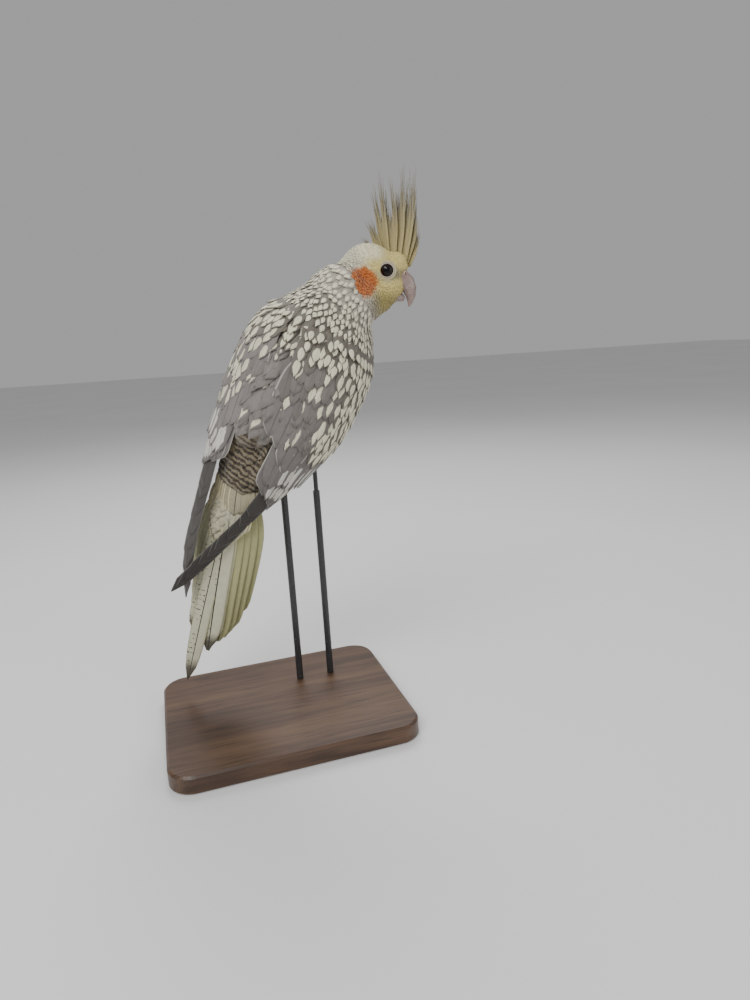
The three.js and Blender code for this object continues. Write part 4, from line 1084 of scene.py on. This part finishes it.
for side, turn in (("right", 1), ("left", -1)):
    bpy.ops.object.select_all(action="DESELECT")
    bpy.ops.mesh.primitive_torus_add(major_segments=64, minor_segments=14, major_radius=3.95 * mm,
                                     minor_radius=0.72 * mm)
    skirt = bpy.context.object
    skirt.name = f"lid_skirt_{side}"
    columns = [Vector(headAxes["fore"]), Vector(headAxes["crown"]), Vector(headAxes["side"] * turn)]
    centre = headPoint(6.4, 1.2, 9.35 * turn)
    skirt.matrix_world = Matrix.Translation(Vector(centre)) @ Matrix(columns).transposed().to_4x4()
    bpy.ops.object.transform_apply(location=True, rotation=True, scale=True)
    bpy.ops.object.shade_smooth()
    skirt.data.materials.append(skirtMaterial)
    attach(skirt, "root")
print("stage: eyes and lids")

# ---- nostrils: a soft raised rim round each pit, at the root of the bill
nostril = {"place": (15.9, -0.2, 3.9), "radius": 0.95, "rim": 0.42}
rimMaterial, tree, shader = newMaterial("nostril rim", 0.6, 0.3)
local = addNode(tree, "ShaderNodeTexCoord").outputs["Object"]
soft = noiseOf(tree, local, 1100.0, 3.0)
tint = rampOf(tree, soft, [(0.3, (0.36, 0.28, 0.22)), (0.7, (0.50, 0.40, 0.30))])
tree.links.new(tint, shader.inputs["Base Color"])
bumpOf(tree, shader, soft, 0.3, 0.0002)
# painted shade: the nostril's opening is not cut; a flat near-black dome fills each rim, standing in for the shade
# inside it
pitShadeMaterial, tree, shader = newMaterial("nostril pit painted shade", 0.8, 0.1)
local = addNode(tree, "ShaderNodeTexCoord").outputs["Object"]
tint = rampOf(tree, noiseOf(tree, local, 1500.0), [(0.3, (0.012, 0.009, 0.008)), (0.7, (0.03, 0.022, 0.02))])
tree.links.new(tint, shader.inputs["Base Color"])
for side, turn in (("right", 1), ("left", -1)):
    f, u, s = nostril["place"]
    spot, outward, _, _ = skinTree.find_nearest(Vector(headPoint(f, u, s * turn)))
    bpy.ops.object.select_all(action="DESELECT")
    bpy.ops.mesh.primitive_torus_add(major_segments=40, minor_segments=12, major_radius=nostril["radius"] * mm,
                                     minor_radius=nostril["rim"] * mm)
    rim = bpy.context.object
    rim.name = f"nostril_{side}"
    rim.matrix_world = Matrix.Translation(spot + outward * 0.35 * mm) @ outward.to_track_quat("Z", "Y").to_matrix().to_4x4()
    bpy.ops.object.transform_apply(location=True, rotation=True, scale=True)
    rim.data.materials.append(rimMaterial)
    pit = addBall(spot + outward * 0.15 * mm, (outward.orthogonal(), outward.cross(outward.orthogonal()), outward),
                  (0.9, 0.9, 0.35), 24)
    pit.name = f"nostril_pit_shade_{side}"
    pit.data.materials.append(pitShadeMaterial)
    for piece in (rim, pit):
        bpy.ops.object.select_all(action="DESELECT")
        piece.select_set(True)
        bpy.context.view_layer.objects.active = piece
        bpy.ops.object.shade_smooth()
        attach(piece, "root")

# ---- bill and claws: layered horn, pinkish grey, darker at the tips
material, tree, shader = newMaterial("bill horn", 0.38, 0.45, coat=0.25)
shader.inputs["Subsurface Weight"].default_value = 0.15
shader.inputs["Subsurface Scale"].default_value = 0.002
shader.inputs["Coat Roughness"].default_value = 0.3
local = addNode(tree, "ShaderNodeTexCoord").outputs["Object"]
layers = addNode(tree, "ShaderNodeTexWave", wave_type="BANDS", bands_direction="Z")
tree.links.new(local, layers.inputs["Vector"])
layers.inputs["Scale"].default_value = 330.0
layers.inputs["Distortion"].default_value = 5.0
layers.inputs["Detail"].default_value = 3.0
patchy = noiseOf(tree, local, 420.0, 4.0)
tint = rampOf(tree, patchy, [(0.25, (0.20, 0.14, 0.125)), (0.55, (0.27, 0.20, 0.18)), (0.8, (0.38, 0.31, 0.275))])
tint = mixColour(tree, calc(tree, "MULTIPLY", layers.outputs["Fac"], 0.22), tint, (0.26, 0.18, 0.17, 1))
tree.links.new(tint, shader.inputs["Base Color"])
bumpOf(tree, shader, calc(tree, "ADD", layers.outputs["Fac"], patchy), 0.18, 0.00015)
billMaterial = material
material, tree, shader = newMaterial("claw horn", 0.35, 0.45)
local = addNode(tree, "ShaderNodeTexCoord").outputs["Object"]
patchy = noiseOf(tree, local, 700.0, 3.0)
tint = rampOf(tree, patchy, [(0.3, (0.07, 0.06, 0.055)), (0.75, (0.2, 0.17, 0.15))])
tree.links.new(tint, shader.inputs["Base Color"])
bumpOf(tree, shader, patchy, 0.2, 0.0001)
clawMaterial = material

# ---- feet: scaly skin
material, tree, shader = newMaterial("scaly skin", 0.6, 0.35)
local = addNode(tree, "ShaderNodeTexCoord").outputs["Object"]
scales = addNode(tree, "ShaderNodeTexVoronoi", feature="DISTANCE_TO_EDGE")
scales.inputs["Scale"].default_value = 950.0
tree.links.new(local, scales.inputs["Vector"])
seam = calc(tree, "MULTIPLY", scales.outputs["Distance"], 5.0, clamp=True)
patchy = noiseOf(tree, local, 300.0, 3.0)
tint = rampOf(tree, patchy, [(0.3, (0.36, 0.27, 0.25)), (0.75, (0.52, 0.42, 0.38))])
tint = mixColour(tree, seam, (0.2, 0.15, 0.14, 1), tint)
tree.links.new(tint, shader.inputs["Base Color"])
bumpOf(tree, shader, seam, 0.6, 0.00018)
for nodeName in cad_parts:
    if nodeName.startswith("bill"):
        paintNode(nodeName, billMaterial)
    elif nodeName.startswith("claw"):
        paintNode(nodeName, clawMaterial)
    elif nodeName.startswith("foot"):
        paintNode(nodeName, material)
print("stage: bill, claws and feet")

# ---- stand: dark stained wood with its grain along the width, and hammered black steel
material, tree, shader = newMaterial("stained wood", 0.42, 0.4, coat=0.15)
shader.inputs["Coat Roughness"].default_value = 0.35
local = addNode(tree, "ShaderNodeTexCoord").outputs["Object"]
stretch = addNode(tree, "ShaderNodeMapping")
stretch.inputs["Scale"].default_value = (4.0, 60.0, 60.0)
tree.links.new(local, stretch.inputs["Vector"])
bandNoise = noiseOf(tree, stretch.outputs["Vector"], 1.6, 6.0, 1.4)
fineStretch = addNode(tree, "ShaderNodeMapping")
fineStretch.inputs["Scale"].default_value = (40.0, 1500.0, 1500.0)
tree.links.new(local, fineStretch.inputs["Vector"])
pores = noiseOf(tree, fineStretch.outputs["Vector"], 1.0, 2.0)
tint = rampOf(tree, bandNoise, [(0.3, (0.035, 0.018, 0.01)), (0.5, (0.085, 0.045, 0.024)), (0.72, (0.13, 0.072, 0.038))])
tint = mixColour(tree, calc(tree, "MULTIPLY", calc(tree, "SUBTRACT", pores, 0.52), 5.0, clamp=True), tint, (0.03, 0.016, 0.01, 1))
tree.links.new(tint, shader.inputs["Base Color"])
bumpOf(tree, shader, calc(tree, "ADD", bandNoise, pores), 0.2, 0.0003)
paintNode("stand_base", material)

material, tree, shader = newMaterial("hammered black steel", 0.42, 0.5, metallic=0.0, coat=0.3)
local = addNode(tree, "ShaderNodeTexCoord").outputs["Object"]
hammer = addNode(tree, "ShaderNodeTexVoronoi", feature="SMOOTH_F1")
hammer.inputs["Scale"].default_value = 520.0
tree.links.new(local, hammer.inputs["Vector"])
flecks = noiseOf(tree, local, 1400.0, 2.0)
tint = rampOf(tree, flecks, [(0.45, (0.012, 0.012, 0.013)), (0.66, (0.03, 0.03, 0.032)), (0.72, (0.12, 0.12, 0.125))])
tree.links.new(tint, shader.inputs["Base Color"])
bumpOf(tree, shader, hammer.outputs["Distance"], 0.5, 0.0003)
for nodeName in ("stand_rod_left", "stand_rod_right", "perch_grid"):
    paintNode(nodeName, material)
print("stage: stand and perch")

# ---- floor
bpy.ops.object.select_all(action="DESELECT")
bpy.ops.mesh.primitive_plane_add(size=12, location=(0, 0, 0))
floor = bpy.context.object
floor.name = "floor"
material, tree, shader = newMaterial("pale floor", 0.8, 0.2)
local = addNode(tree, "ShaderNodeTexCoord").outputs["Object"]
soft = noiseOf(tree, local, 3.0, 2.0)
tint = rampOf(tree, soft, [(0.2, (0.74, 0.735, 0.73)), (0.8, (0.79, 0.785, 0.78))])
tree.links.new(tint, shader.inputs["Base Color"])
floor.data.materials.append(material)
